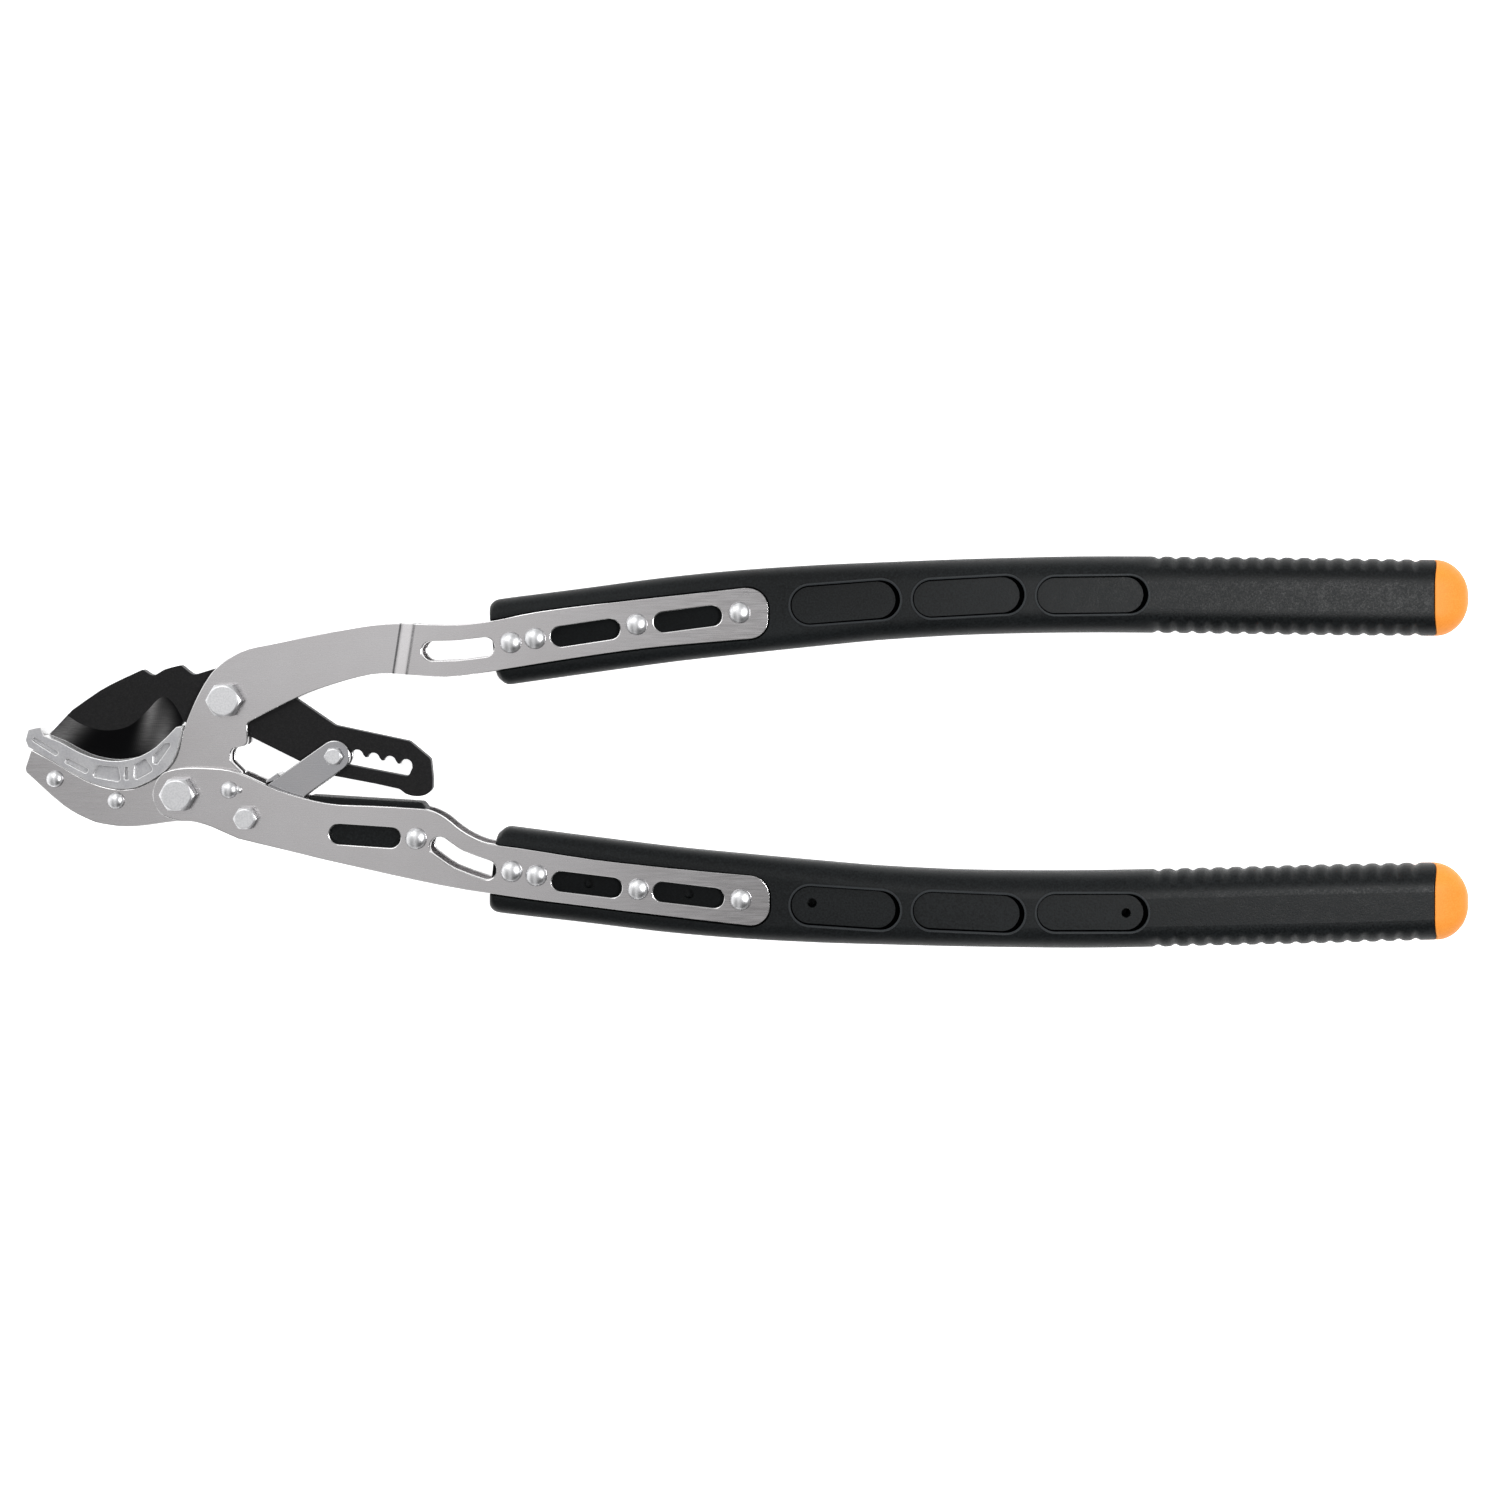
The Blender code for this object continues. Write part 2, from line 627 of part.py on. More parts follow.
def socket_mesh(lower):
    grow = SPIGOT[1] + 2 * GAP / STATIONS[-1][3]
    rings = [cap_section(SPIGOT[0] - GAP, grow, lower), cap_section(595.0, grow, lower)]
    return stack("socket", rings)


def recess_shapes(lower):
    """Seats for the straps and the three grip pockets, on both faces."""
    outline = trace(LOWER) if lower else trace(FRAME)
    band = right_of(outline, 112)
    turning = sum(a.cross(b) for a, b in zip(band, band[1:] + band[:1]))
    seat = offset(band, -0.45 if turning > 0 else 0.45)
    shapes = [(seat, FRAME_OUT, 16.0), (seat, -16.0, -FRAME_OUT)]
    for x0, x1, y0, y1, half, floor in POCKETS:
        a = Vector((x0 + half, y0))
        b = Vector((x1 - half, y1))
        if lower:
            a, b = Vector(mirrored(*a)), Vector(mirrored(*b))
        ring_points = slot((a, b, half))
        shapes += [(ring_points, floor, 16.0), (ring_points, -16.0, -floor)]
    return shapes


def hole_shapes(lower):
    rivets = LOWER_RIVETS if lower else UPPER_RIVETS
    shapes = [(circle(at, RIVET_SHANK + GAP, 12), -16.0, 16.0) for at in rivets]
    if lower:
        shapes += [(circle(at, 1.8, 10), 2.0, 16.0) for at in SCREW_HOLES]
    return shapes


# ---- assembly ---------------------------------------------------------------------------------
clear()
PARTS = new_collection(COLLECTION)
CUTTERS = new_collection("cutters", hidden=True)

STEEL = material("brushed_steel", (0.62, 0.61, 0.60), 0.36, 1.0)
ZINC = material("bright_zinc", (0.78, 0.79, 0.80), 0.25, 1.0)
CAST = material("cast_aluminium", (0.66, 0.66, 0.66), 0.55, 0.9)
COATED = material("black_coated_steel", (0.02, 0.02, 0.022), 0.42, 0.3)
SPRING = material("spring_steel", (0.30, 0.29, 0.28), 0.35, 1.0)
BLACK = material("black_nylon", (0.018, 0.02, 0.022), 0.5, 0.0)
ORANGE = material("orange_plastic", (0.95, 0.29, 0.03), 0.42, 0.0)

AXES = {}


def axis(name, at):
    empty = bpy.data.objects.new(name, None)
    empty.empty_display_size = 0.02
    empty.location = ((PIVOT[0] + at[0]) * MM, (PIVOT[1] + at[1]) * MM, MID * MM)
    PARTS.objects.link(empty)
    AXES[name] = (empty, at)
    return empty


def add(name, mesh, mat, body, at=(0, 0), collection=None):
    """Put a mesh drawn about a plan point onto its body."""
    empty, origin = AXES[body]
    ob = bpy.data.objects.new(name, mesh)
    ob.parent = empty
    ob.location = ((at[0] - origin[0]) * MM, (at[1] - origin[1]) * MM, 0)
    (collection or PARTS).objects.link(ob)
    if mat and not mesh.materials:
        mesh.materials.append(mat)
    return ob


def add_rivet(name, profile, body, at):
    """Turn a rivet's profile about its own axis."""
    ob = add(name, profile, ZINC, body, at)
    screw = ob.modifiers.new("Turn", "SCREW")
    screw.steps = 14
    screw.render_steps = 14
    screw.use_merge_vertices = True
    screw.merge_threshold = 0.00001
    screw.use_smooth_shade = True
    return ob


def boolean(target, tool_mesh, operation, body):
    tool = add(target.name + "_" + operation.lower() + str(len(target.modifiers)), tool_mesh,
               None, body, collection=CUTTERS)
    tool.display_type = "WIRE"
    tool.hide_render = True
    mod = target.modifiers.new(operation.title(), "BOOLEAN")
    mod.operation = operation
    mod.solver = "EXACT"
    mod.object = tool
    return mod


axis("frame_body", BLADE_PIN)
axis("blade_axis", BLADE_PIN)
axis("lower_handle_axis", HANDLE_PIN)
axis("link_axis", LINK_PIN)

# fixed frame with the anvil jaw and the upper handle
add("frame_plate_front", frame_mesh(1), STEEL, "frame_body")
add("frame_plate_rear", frame_mesh(-1), STEEL, "frame_body")

casting = finish_mesh(flat("anvil", [anvil_outline()], -ANVIL_HALF, ANVIL_HALF), "anvil")
anvil = add("anvil", casting, CAST, "frame_body")
tang_loops = [trace(TANG)] + [circle(at, JAW_SHANK + GAP, 12) for at in JAW_RIVETS]
boolean(anvil, finish_mesh(flat("tang", tang_loops, -BLADE_HALF, BLADE_HALF), "tang"),
        "UNION", "frame_body")
floor = ANVIL_HALF - ANVIL_POCKET_DEPTH
pocket_shapes = []
for nodes in ANVIL_POCKETS:
    shape = trace(nodes)
    pocket_shapes += [(shape, floor, ANVIL_HALF + 3), (shape, -ANVIL_HALF - 3, -floor)]
boolean(anvil, prisms("anvil_pockets", pocket_shapes), "DIFFERENCE", "frame_body")

jaw_rivet = rivet_profile("jaw_rivet", JAW_SHANK, JAW_HEAD, FRAME_OUT + GAP, 2.6)
for word, at in zip(("tip", "heel"), JAW_RIVETS):
    add_rivet("anvil_rivet_" + word, jaw_rivet, "frame_body", at)

pivot_bolt = bolt_mesh("pivot_bolt", BIG_SHANK, BIG_FLATS, BIG_HEAD,
                       FRAME_OUT + GAP, -FRAME_OUT - GAP - BIG_NUT + 0.4)
pivot_nut = nut_mesh("pivot_nut", BIG_SHANK, BIG_FLATS,
                     -FRAME_OUT - GAP - BIG_NUT, -FRAME_OUT - GAP)
add("blade_pivot_bolt", pivot_bolt, ZINC, "frame_body", BLADE_PIN)
add("blade_pivot_nut", pivot_nut, ZINC, "frame_body", BLADE_PIN)

strap_rivet = rivet_profile("strap_rivet", RIVET_SHANK, RIVET_HEAD, PLATE_OUT + GAP, 3.0)
for number, at in enumerate(UPPER_RIVETS, 1):
    add_rivet("upper_strap_rivet_" + str(number), strap_rivet, "frame_body", at)

# handle mouldings and their end caps
for lower, word, body in ((False, "upper", "frame_body"), (True, "lower", "lower_handle_axis")):
    grip = add(word + "_handle", handle_mesh(lower), BLACK, body)
    boolean(grip, prisms("recess", recess_shapes(lower)), "DIFFERENCE", body)
    boolean(grip, prisms("holes", hole_shapes(lower)), "DIFFERENCE", body)
    boolean(grip, socket_mesh(lower), "DIFFERENCE", body)
    add(word + "_end_cap", cap_mesh(lower), ORANGE, body)

# blade
add("blade", blade_mesh(), COATED, "blade_axis")

# lower handle
add("lower_plate_front", lower_mesh(1), STEEL, "lower_handle_axis")
add("lower_plate_rear", lower_mesh(-1), STEEL, "lower_handle_axis")
block_loops = [trace(BLOCK), circle(SPACER_RIVET, RIVET_SHANK + GAP, 12)]
add("spacer_block", finish_mesh(flat("block", block_loops, -FRAME_OUT, FRAME_OUT), "spacer_block"),
    BLACK, "lower_handle_axis")
for number, at in enumerate(LOWER_RIVETS, 1):
    add_rivet("lower_strap_rivet_" + str(number), strap_rivet, "lower_handle_axis", at)
add_rivet("spacer_rivet", strap_rivet, "lower_handle_axis", SPACER_RIVET)
stop_profile = rivet_profile("stop_pin", JAW_SHANK, JAW_HEAD, PLATE_OUT + GAP, 2.4)
add_rivet("stop_pin", stop_profile, "lower_handle_axis", STOP_PIN)
add("handle_pivot_bolt", bolt_mesh("handle_bolt", BIG_SHANK, BIG_FLATS, BIG_HEAD,
    PLATE_OUT + GAP, -PLATE_OUT - GAP - BIG_NUT + 0.4), ZINC, "lower_handle_axis", HANDLE_PIN)
add("handle_pivot_nut", nut_mesh("handle_nut", BIG_SHANK, BIG_FLATS,
    -PLATE_OUT - GAP - BIG_NUT, -PLATE_OUT - GAP), ZINC, "lower_handle_axis", HANDLE_PIN)
add("link_bolt", bolt_mesh("link_bolt", SMALL_SHANK, SMALL_FLATS, SMALL_HEAD,
    PLATE_OUT + GAP, -PLATE_OUT - GAP - SMALL_HEAD + 0.4), ZINC, "lower_handle_axis", LINK_PIN)
add("link_nut", nut_mesh("link_nut", SMALL_SHANK, SMALL_FLATS,
    -PLATE_OUT - GAP - SMALL_HEAD, -PLATE_OUT - GAP), ZINC, "lower_handle_axis", LINK_PIN)
add("pawl_spring", spring_mesh(), SPRING, "lower_handle_axis")

# link: two ears joined by a web along one side
web = [link_place(16.0, 7.2), link_place(24.5, 7.2), link_place(23.5, 9.6), link_place(16.8, 9.6)]
link = add("ratchet_link", finish_mesh(flat("web", [web], -LINK_OUT, LINK_OUT), "ratchet_link"),
           STEEL, "link_axis")
ear = slot((Vector(LINK_PIN), Vector(RATCHET_PIN), 7.6), ends=8)
ear_holes = [circle(LINK_PIN, SMALL_SHANK + GAP), circle(RATCHET_PIN, PIN_SHANK + GAP, 12)]
ears = bmesh.new()
for low, high in ((FRAME_IN, LINK_OUT), (-LINK_OUT, -FRAME_IN)):
    one = finish_mesh(flat("ear", [ear] + ear_holes, low, high), "ear")
    ears.from_mesh(one)
    bpy.data.meshes.remove(one)
boolean(link, finish_mesh(ears, "ears"), "UNION", "link_axis")
add("ratchet_pin", bolt_mesh("ratchet_pin", PIN_SHANK, PIN_FLATS, PIN_HEAD,
    LINK_OUT + GAP, -LINK_OUT - GAP - PIN_HEAD + 0.2), ZINC, "link_axis", RATCHET_PIN)
add("ratchet_pin_nut", nut_mesh("ratchet_nut", PIN_SHANK, PIN_FLATS,
    -LINK_OUT - GAP - PIN_HEAD, -LINK_OUT - GAP), ZINC, "link_axis", RATCHET_PIN)
bpy.context.view_layer.update()
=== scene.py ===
# %% [markdown]
# # A two-handed ratchet lopper
# The tool cuts branches with a black blade that closes onto a cast anvil. Two long handles
# work it through a ratchet link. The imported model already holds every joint, so this lesson
# only makes what the eye sees: rounded sheet metal, spun fasteners, moulded handles and the
# finish of each material. Every new piece rides on one of the model's four bodies.

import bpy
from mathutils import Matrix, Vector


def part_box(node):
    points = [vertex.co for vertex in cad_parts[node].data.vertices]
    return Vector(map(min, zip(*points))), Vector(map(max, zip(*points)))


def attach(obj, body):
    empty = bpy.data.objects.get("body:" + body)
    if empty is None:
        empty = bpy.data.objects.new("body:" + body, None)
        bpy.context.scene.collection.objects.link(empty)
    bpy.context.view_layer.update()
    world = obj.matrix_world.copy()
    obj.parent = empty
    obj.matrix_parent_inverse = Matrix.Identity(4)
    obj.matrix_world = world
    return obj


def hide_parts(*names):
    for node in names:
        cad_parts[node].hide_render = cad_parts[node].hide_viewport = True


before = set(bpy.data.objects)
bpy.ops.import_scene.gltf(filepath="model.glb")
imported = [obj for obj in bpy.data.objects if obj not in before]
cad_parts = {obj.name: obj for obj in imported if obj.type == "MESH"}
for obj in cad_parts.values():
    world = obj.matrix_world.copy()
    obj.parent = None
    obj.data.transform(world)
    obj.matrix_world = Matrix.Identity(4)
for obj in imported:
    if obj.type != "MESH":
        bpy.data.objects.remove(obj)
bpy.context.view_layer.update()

# %% [markdown]
# ## Where things lie
# A maker draws such a tool flat, on paper, from the middle of the blade's pivot. All sizes
# below are millimetres from that pivot, and from the middle plane of the blade. The pivot's
# place in the room comes from the frame, so the drawing lands where the model is.

# %% The drawing's zero point
import bpy
import bmesh
import math
from mathutils import Matrix, Vector

MM = 0.001


def middle(node):
    low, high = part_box(node)
    return (low + high) / 2


HOME = Vector((*middle("blade_pivot_bolt").xy, middle("blade").z))
print("pivot at", [round(c / MM, 2) for c in HOME], "mm")


def on_drawing(node):
    """Centre of a node, in millimetres on the drawing."""
    return (middle(node) - HOME).xy / MM


BLADE_PIN = on_drawing("blade_pivot_bolt")
HANDLE_PIN = on_drawing("handle_pivot_bolt")
LINK_PIN = on_drawing("link_bolt")
RATCHET_PIN = on_drawing("ratchet_pin")
STOP_PIN = on_drawing("stop_pin")
SPACER_RIVET = on_drawing("spacer_rivet")
JAW_RIVETS = [on_drawing("anvil_rivet_" + word) for word in ("tip", "heel")]
UPPER_RIVETS = [on_drawing("upper_strap_rivet_" + str(n)) for n in (1, 2, 3, 4)]
LOWER_RIVETS = [on_drawing("lower_strap_rivet_" + str(n)) for n in (1, 2, 3, 4)]
print("handle pin at", [round(c, 1) for c in HANDLE_PIN])

# %% [markdown]
# ## Camera, floor and light
# The tool lies on a white table and is seen straight from above. The lens is shifted a little
# instead of tilted, because both handles look equally wide. The light is a soft room: a bright
# panel overhead, a bright left side and a darker front, so that round rivets get a dark
# crescent. Three square lamps add the gleams.

# %% Camera
CAMERA_AT = Vector((255.19, 56.0, 882.0))
LENS = 43.2
FILM_WIDTH = 36.0
LENS_SHIFT = -0.11
camera_data = bpy.data.cameras.new("overhead")
camera_data.lens = LENS
camera_data.sensor_width = FILM_WIDTH
camera_data.shift_y = LENS_SHIFT
camera = bpy.data.objects.new("overhead", camera_data)
camera.location = HOME + CAMERA_AT * MM
bpy.context.scene.collection.objects.link(camera)
bpy.context.scene.camera = camera
bpy.context.scene.view_settings.view_transform = "Standard"
print("camera at", [round(c, 4) for c in camera.location])

# %% [markdown]
# ## Writing materials as sums
# A material is easier to read as a formula than as a web of boxes. A Wire stands for one
# value in the material, and adding or multiplying wires adds the Math nodes. A Finish is a
# material being written: its node method makes any other node, settings first.

# %% Wires and finishes


class Wire:
    """One value or colour in a finish, which can be added, taken away or multiplied."""

    def __init__(self, finish, socket):
        self.finish = finish
        self.socket = socket

    def maths(self, operation, left, right, clamp=False):
        settings = {"operation": operation, "use_clamp": clamp}
        return self.finish.node("ShaderNodeMath", settings, {0: left, 1: right})

    def __add__(self, other):
        return self.maths("ADD", self, other)

    __radd__ = __add__

    def __mul__(self, other):
        return self.maths("MULTIPLY", self, other)

    __rmul__ = __mul__

    def __sub__(self, other):
        return self.maths("SUBTRACT", self, other)

    def __rsub__(self, other):
        return self.maths("SUBTRACT", other, self)

    def clamped(self):
        return self.maths("ADD", self, 0.0, clamp=True)


class Finish:
    """A material being written."""

    def __init__(self, tree, shader=None):
        self.tree = tree
        self.shader = shader

    def node(self, kind, settings, sockets, out=0):
        made = self.tree.nodes.new(kind)
        for key, value in settings.items():
            setattr(made, key, value)
        for key, value in sockets.items():
            self.feed(made.inputs[key], value)
        return Wire(self, made.outputs[out])

    def feed(self, socket, value):
        if isinstance(value, Wire):
            self.tree.links.new(value.socket, socket)
        else:
            socket.default_value = value

    def grain(self, size, stretch=(1, 1, 1), turn=0.0, detail=3.0, roughness=0.5):
        """Noise from 0 to 1, with spots about size millimetres wide."""
        place = self.node("ShaderNodeTexCoord", {}, {}, "Object")
        scale = Vector([1 / (size * MM * s) for s in stretch])
        laid = self.node("ShaderNodeMapping", {}, {"Vector": place, "Scale": scale,
                                                   "Rotation": (0, 0, math.radians(turn))})
        sockets = {"Vector": laid, "Scale": 1.0, "Detail": detail, "Roughness": roughness}
        return self.node("ShaderNodeTexNoise", {}, sockets)

    def spread(self, value, low, high):
        """Stretches a narrow span of a value over 0 to 1."""
        settings = {"interpolation_type": "SMOOTHSTEP"}
        sockets = {"Value": value, "From Min": low, "From Max": high}
        return self.node("ShaderNodeMapRange", settings, sockets)

    def mask(self, name):
        """A value painted on the piece's faces or corners."""
        return self.node("ShaderNodeAttribute", {"attribute_name": name}, {}, "Fac")

    def blend(self, factor, first, second):
        """One colour where the factor is 0 and the other where it is 1."""
        sockets = {0: factor, 6: first, 7: second}
        return self.node("ShaderNodeMix", {"data_type": "RGBA"}, sockets, out=2)

    def bump(self, height, depth, strength=1.0):
        """Fine relief, with depth in millimetres."""
        sockets = {"Height": height, "Distance": depth * MM, "Strength": strength}
        return self.node("ShaderNodeBump", {}, sockets)

    def wear(self, **parts):
        """Feeds the shader's sockets, named with underscores for blanks."""
        for key, value in parts.items():
            self.feed(self.shader.inputs[key.replace("_", " ")], value)


def new_finish(name):
    material = bpy.data.materials.new(name)
    material.use_nodes = True
    return material, Finish(material.node_tree, material.node_tree.nodes["Principled BSDF"])


def shade(red, green, blue):
    return (red, green, blue, 1.0)


# %% Room and floor
world = bpy.data.worlds.new("soft_room")
world.use_nodes = True
room = Finish(world.node_tree)
way = room.node("ShaderNodeTexCoord", {}, {}, "Generated")
across, upward, height = (room.node("ShaderNodeSeparateXYZ", {}, {"Vector": way}, axis)
                          for axis in "XYZ")
OVERHEAD = 0.22              # the plain ceiling
PANEL = 0.93                 # the bright panel: how bright, where its middle is, half its width
PANEL_AT = -0.21
PANEL_HALF = 0.24
SIDE_BRIGHT = 1.7            # the left wall, how far out it starts and how fast it brightens
SIDE_FROM = 0.5
SIDE_GROWTH = 2.5
BACK_BRIGHT = 0.55           # added towards the back
FRONT_DARK = 0.20            # taken away towards the front, and how fast
FRONT_GROWTH = -5.0
WALL_SHARE = 0.4             # how much of all this is left at the horizon
HORIZON = 0.42               # an even glow low down, how high it reaches and how fast it grows
HORIZON_TOP = 0.42
HORIZON_GROWTH = 3.0
off_panel = (across - PANEL_AT) * (1 / PANEL_HALF)
panel = (1.0 - off_panel * off_panel).clamped() * PANEL
side = ((0.0 - across - SIDE_FROM) * SIDE_GROWTH).clamped() * SIDE_BRIGHT
back = upward.clamped() * BACK_BRIGHT - (upward * FRONT_GROWTH).clamped() * FRONT_DARK
low_down = ((HORIZON_TOP - height) * HORIZON_GROWTH).clamped()
falloff = height.clamped() * (1 - WALL_SHARE) + WALL_SHARE
glow = (panel + side + back + OVERHEAD) * falloff + low_down * HORIZON
sky = world.node_tree.nodes["Background"]
room.feed(sky.inputs["Color"], shade(1.0, 1.0, 1.0))
room.feed(sky.inputs["Strength"], glow)
bpy.context.scene.world = world

floor_material, floor_finish = new_finish("white_table")
dust = floor_finish.grain(60.0)
TABLE_HALF = 6.0
TABLE_GLOW = 0.8             # keeps the table white right up to the picture's corners
table_tone = floor_finish.blend(dust, shade(0.86, 0.86, 0.86), shade(0.9, 0.9, 0.9))
floor_finish.wear(Base_Color=table_tone, Roughness=0.8, Specular_IOR_Level=0.0,
                  Emission_Color=shade(1.0, 1.0, 1.0), Emission_Strength=TABLE_GLOW)
table = bmesh.new()
bmesh.ops.create_grid(table, x_segments=1, y_segments=1, size=TABLE_HALF)
table_mesh = bpy.data.meshes.new("table")
table.to_mesh(table_mesh)
table.free()
table_mesh.materials.append(floor_material)
floor = bpy.data.objects.new("table", table_mesh)
bpy.context.scene.collection.objects.link(floor)


def soft_light(name, at, size, power, aim=(0.0, 0.0, 0.0)):
    """A square lamp that looks at a place on the tool."""
    data = bpy.data.lights.new(name, "AREA")
    data.size = size
    data.energy = power
    lamp = bpy.data.objects.new(name, data)
    lamp.location = at
    lamp.rotation_euler = (Vector(aim) - Vector(at)).to_track_quat("-Z", "Y").to_euler()
    bpy.context.scene.collection.objects.link(lamp)


soft_light("key", (-0.9, 0.9, 1.5), 0.9, 5.0)
soft_light("fill", (1.3, 0.5, 1.2), 1.2, 4.0)
soft_light("grip_gleam", (0.72, 0.04, 1.2), 0.4, 11.0, (0.25, 0.03, 0.0))
print("room, table and three lamps are in place")

# %% [markdown]
# ## The finishes
# Eight finishes cover the whole tool. Metals get their look from roughness: brushing is noise
# stretched along one direction, and the rounded edges are smoother and carry a painted
# highlight.
# Each sheet piece carries a painted mask called rim that is 1 on its rounded edges. Other masks
# paint shade into a bend's crease, mark the blade's ground side and paint reflections on it,
# paint shade into the handles' seats and sunk walls, and paint a highlight on their raised
# beads.

# %% Brushed steel


def brushed_steel(name, turn, light, dark):
    """Steel sheet with fine brush lines along its length."""
    material, steel = new_finish(name)
    lines = steel.grain(0.42, (34, 1, 1), turn, 3.0, 0.6)
    broad = steel.grain(1.3, (9, 1, 1), turn, 2.0)
    cloud = steel.grain(30.0)
    rim = steel.mask("rim")
    painted_bend_shade = steel.mask("painted_bend_shade")
    brushed = steel.spread(lines * 0.7 + broad * 0.3, 0.25, 0.75)
    tone = steel.blend(brushed, dark, light)
    tone = steel.blend(steel.spread(cloud, 0.3, 0.75) * 0.35, tone, shade(0.47, 0.45, 0.45))
    # Painted highlight on the rounded rim: its colour is blended towards a light grey, and the
    # rim is also made smoother.
    tone = steel.blend(rim * 0.6, tone, shade(0.82, 0.82, 0.82))
    # Painted shade along the bends of the plate's step: these faces are blended towards near
    # black.
    tone = steel.blend(painted_bend_shade, tone, shade(0.10, 0.10, 0.105))
    steel.wear(Base_Color=tone, Metallic=1.0,
               Roughness=(brushed * 0.12 + cloud * 0.05 + 0.18) * (1.0 - rim * 0.3),
               Normal=steel.bump(lines, 0.003, 0.4))
    return material


BRUSH_TURN = -6.0
LINK_BRUSH_TURN = -35.0
STEEL = brushed_steel("brushed_steel", BRUSH_TURN, shade(0.575, 0.562, 0.57),
                      shade(0.485, 0.472, 0.48))
LINK_STEEL = brushed_steel("link_steel", LINK_BRUSH_TURN, shade(0.41, 0.41, 0.425),
                           shade(0.33, 0.33, 0.345))
print("brush lines lie", -BRUSH_TURN, "degrees off the tool's length")

# %% Bright zinc
ZINC, zinc = new_finish("bright_zinc")
mottle = zinc.grain(0.8)
scratches = zinc.grain(0.3, (14, 1, 1), 40.0)
zinc_tone = zinc.blend(zinc.spread(mottle, 0.35, 0.7), shade(0.84, 0.84, 0.855),
                       shade(0.72, 0.725, 0.74))
zinc.wear(Base_Color=zinc_tone, Metallic=1.0,
          Roughness=zinc.spread(mottle * 0.6 + scratches * 0.4, 0.3, 0.75) * 0.12 + 0.30,
          Normal=zinc.bump(mottle * 0.4 + scratches * 0.6, 0.004, 0.35))
print("zinc:", len(ZINC.node_tree.nodes), "nodes")

# %% Cast alloy
CAST, cast = new_finish("cast_aluminium")
skin_grain = cast.grain(0.9, detail=5.0, roughness=0.65)
patches = cast.grain(9.0)
cast_rim = cast.mask("rim")
cast_tone = cast.blend(cast.spread(skin_grain * 0.5 + patches * 0.5, 0.35, 0.7),
                       shade(0.56, 0.56, 0.57), shade(0.44, 0.44, 0.46))
# Painted highlight on the casting's rounded rims: blended towards light grey, and made
# smoother.
cast_tone = cast.blend(cast_rim * 0.8, cast_tone, shade(0.88, 0.88, 0.88))
cast.wear(Base_Color=cast_tone, Metallic=0.75,
          Roughness=cast.spread(skin_grain, 0.3, 0.7) * 0.18 + 0.42 - cast_rim * 0.18,
          Normal=cast.bump(skin_grain, 0.09, 0.6))
print("casting grain is about 0.9 mm")

# %% Black coating of the blade
COATED, coat = new_finish("black_coated_steel")
speckle = coat.grain(0.7, detail=4.0, roughness=0.7)
haze = coat.grain(14.0)
drag = coat.grain(0.3, (30, 1, 1), 62.0, 4.0)
painted_reflection = coat.mask("painted_reflection")
bevel = coat.mask("bevel")
rim_wear_and_highlight = coat.mask("rim")
gleam = painted_reflection * (coat.spread(drag, 0.25, 0.75) * 0.4 + 0.6)
coat_tone = coat.blend(coat.spread(speckle, 0.35, 0.75), shade(0.008, 0.008, 0.0085),
                       shade(0.018, 0.0175, 0.018))
coat_tone = coat.blend(bevel, coat_tone, shade(0.006, 0.006, 0.0065))
# Painted reflection on the ground side: blended towards light grey, streaked along the grinding
# lines.
coat_tone = coat.blend(gleam * 0.75, coat_tone, shade(0.36, 0.355, 0.355))
# The coat's rounded rims are painted lighter grey, partly for wear and partly as a painted
# highlight.
coat_tone = coat.blend(rim_wear_and_highlight * 0.22, coat_tone, shade(0.30, 0.30, 0.31))
coat.wear(Base_Color=coat_tone, Metallic=(bevel + rim_wear_and_highlight * 0.3).clamped(),
          Roughness=coat.spread(speckle, 0.3, 0.7) * 0.16 + haze * 0.06 + 0.40,
          Specular_IOR_Level=0.14, Normal=coat.bump(speckle, 0.03, 0.5))
print("the coating is speckled and rubs grey at its rims")

# %% Black nylon of the handles


def moulded_nylon(name, grain_size, low, high, base_roughness):
    """Moulded plastic with the fine spark-eroded grain of its tool, painted shade in its seats
    and pockets, and a painted highlight on its beads.
    """
    material, nylon = new_finish(name)
    grain = nylon.grain(grain_size, detail=4.0, roughness=0.6)
    flow = nylon.grain(40.0, (4, 1, 1))
    rub = nylon.grain(7.0)
    tone = nylon.blend(nylon.spread(grain * 0.7 + flow * 0.3, 0.4, 0.65), low, high)
    painted_recess_shade = nylon.mask("painted_recess_shade")
    bead_highlight = nylon.mask("bead")
    # Painted shade in the seats and pockets: blended towards black, and made metallic and rough
    # so that they reflect almost nothing.
    tone = nylon.blend(painted_recess_shade * 0.95, tone, shade(0.0006, 0.0007, 0.0008))
    # Painted highlight on the tops of the raised beads: blended towards a lighter grey.
    tone = nylon.blend(bead_highlight * 0.8, tone, shade(0.034, 0.038, 0.041))
    rough = nylon.spread(grain, 0.3, 0.7) * 0.18 + nylon.spread(rub, 0.45, 0.75) * -0.05
    rough = rough + flow * 0.05 + base_roughness + painted_recess_shade * 0.4
    nylon.wear(Base_Color=tone, Metallic=painted_recess_shade, Roughness=rough.clamped(),
               Specular_IOR_Level=0.19, Normal=nylon.bump(grain, 0.12, 0.7))
    return material


BLACK = moulded_nylon("black_nylon", 0.85, shade(0.001, 0.0016, 0.002),
                      shade(0.0075, 0.0095, 0.0105), 0.36)
ORANGE = moulded_nylon("orange_plastic", 0.7, shade(0.80, 0.265, 0.034),
                       shade(0.88, 0.32, 0.05), 0.38)
print("two moulded plastics")

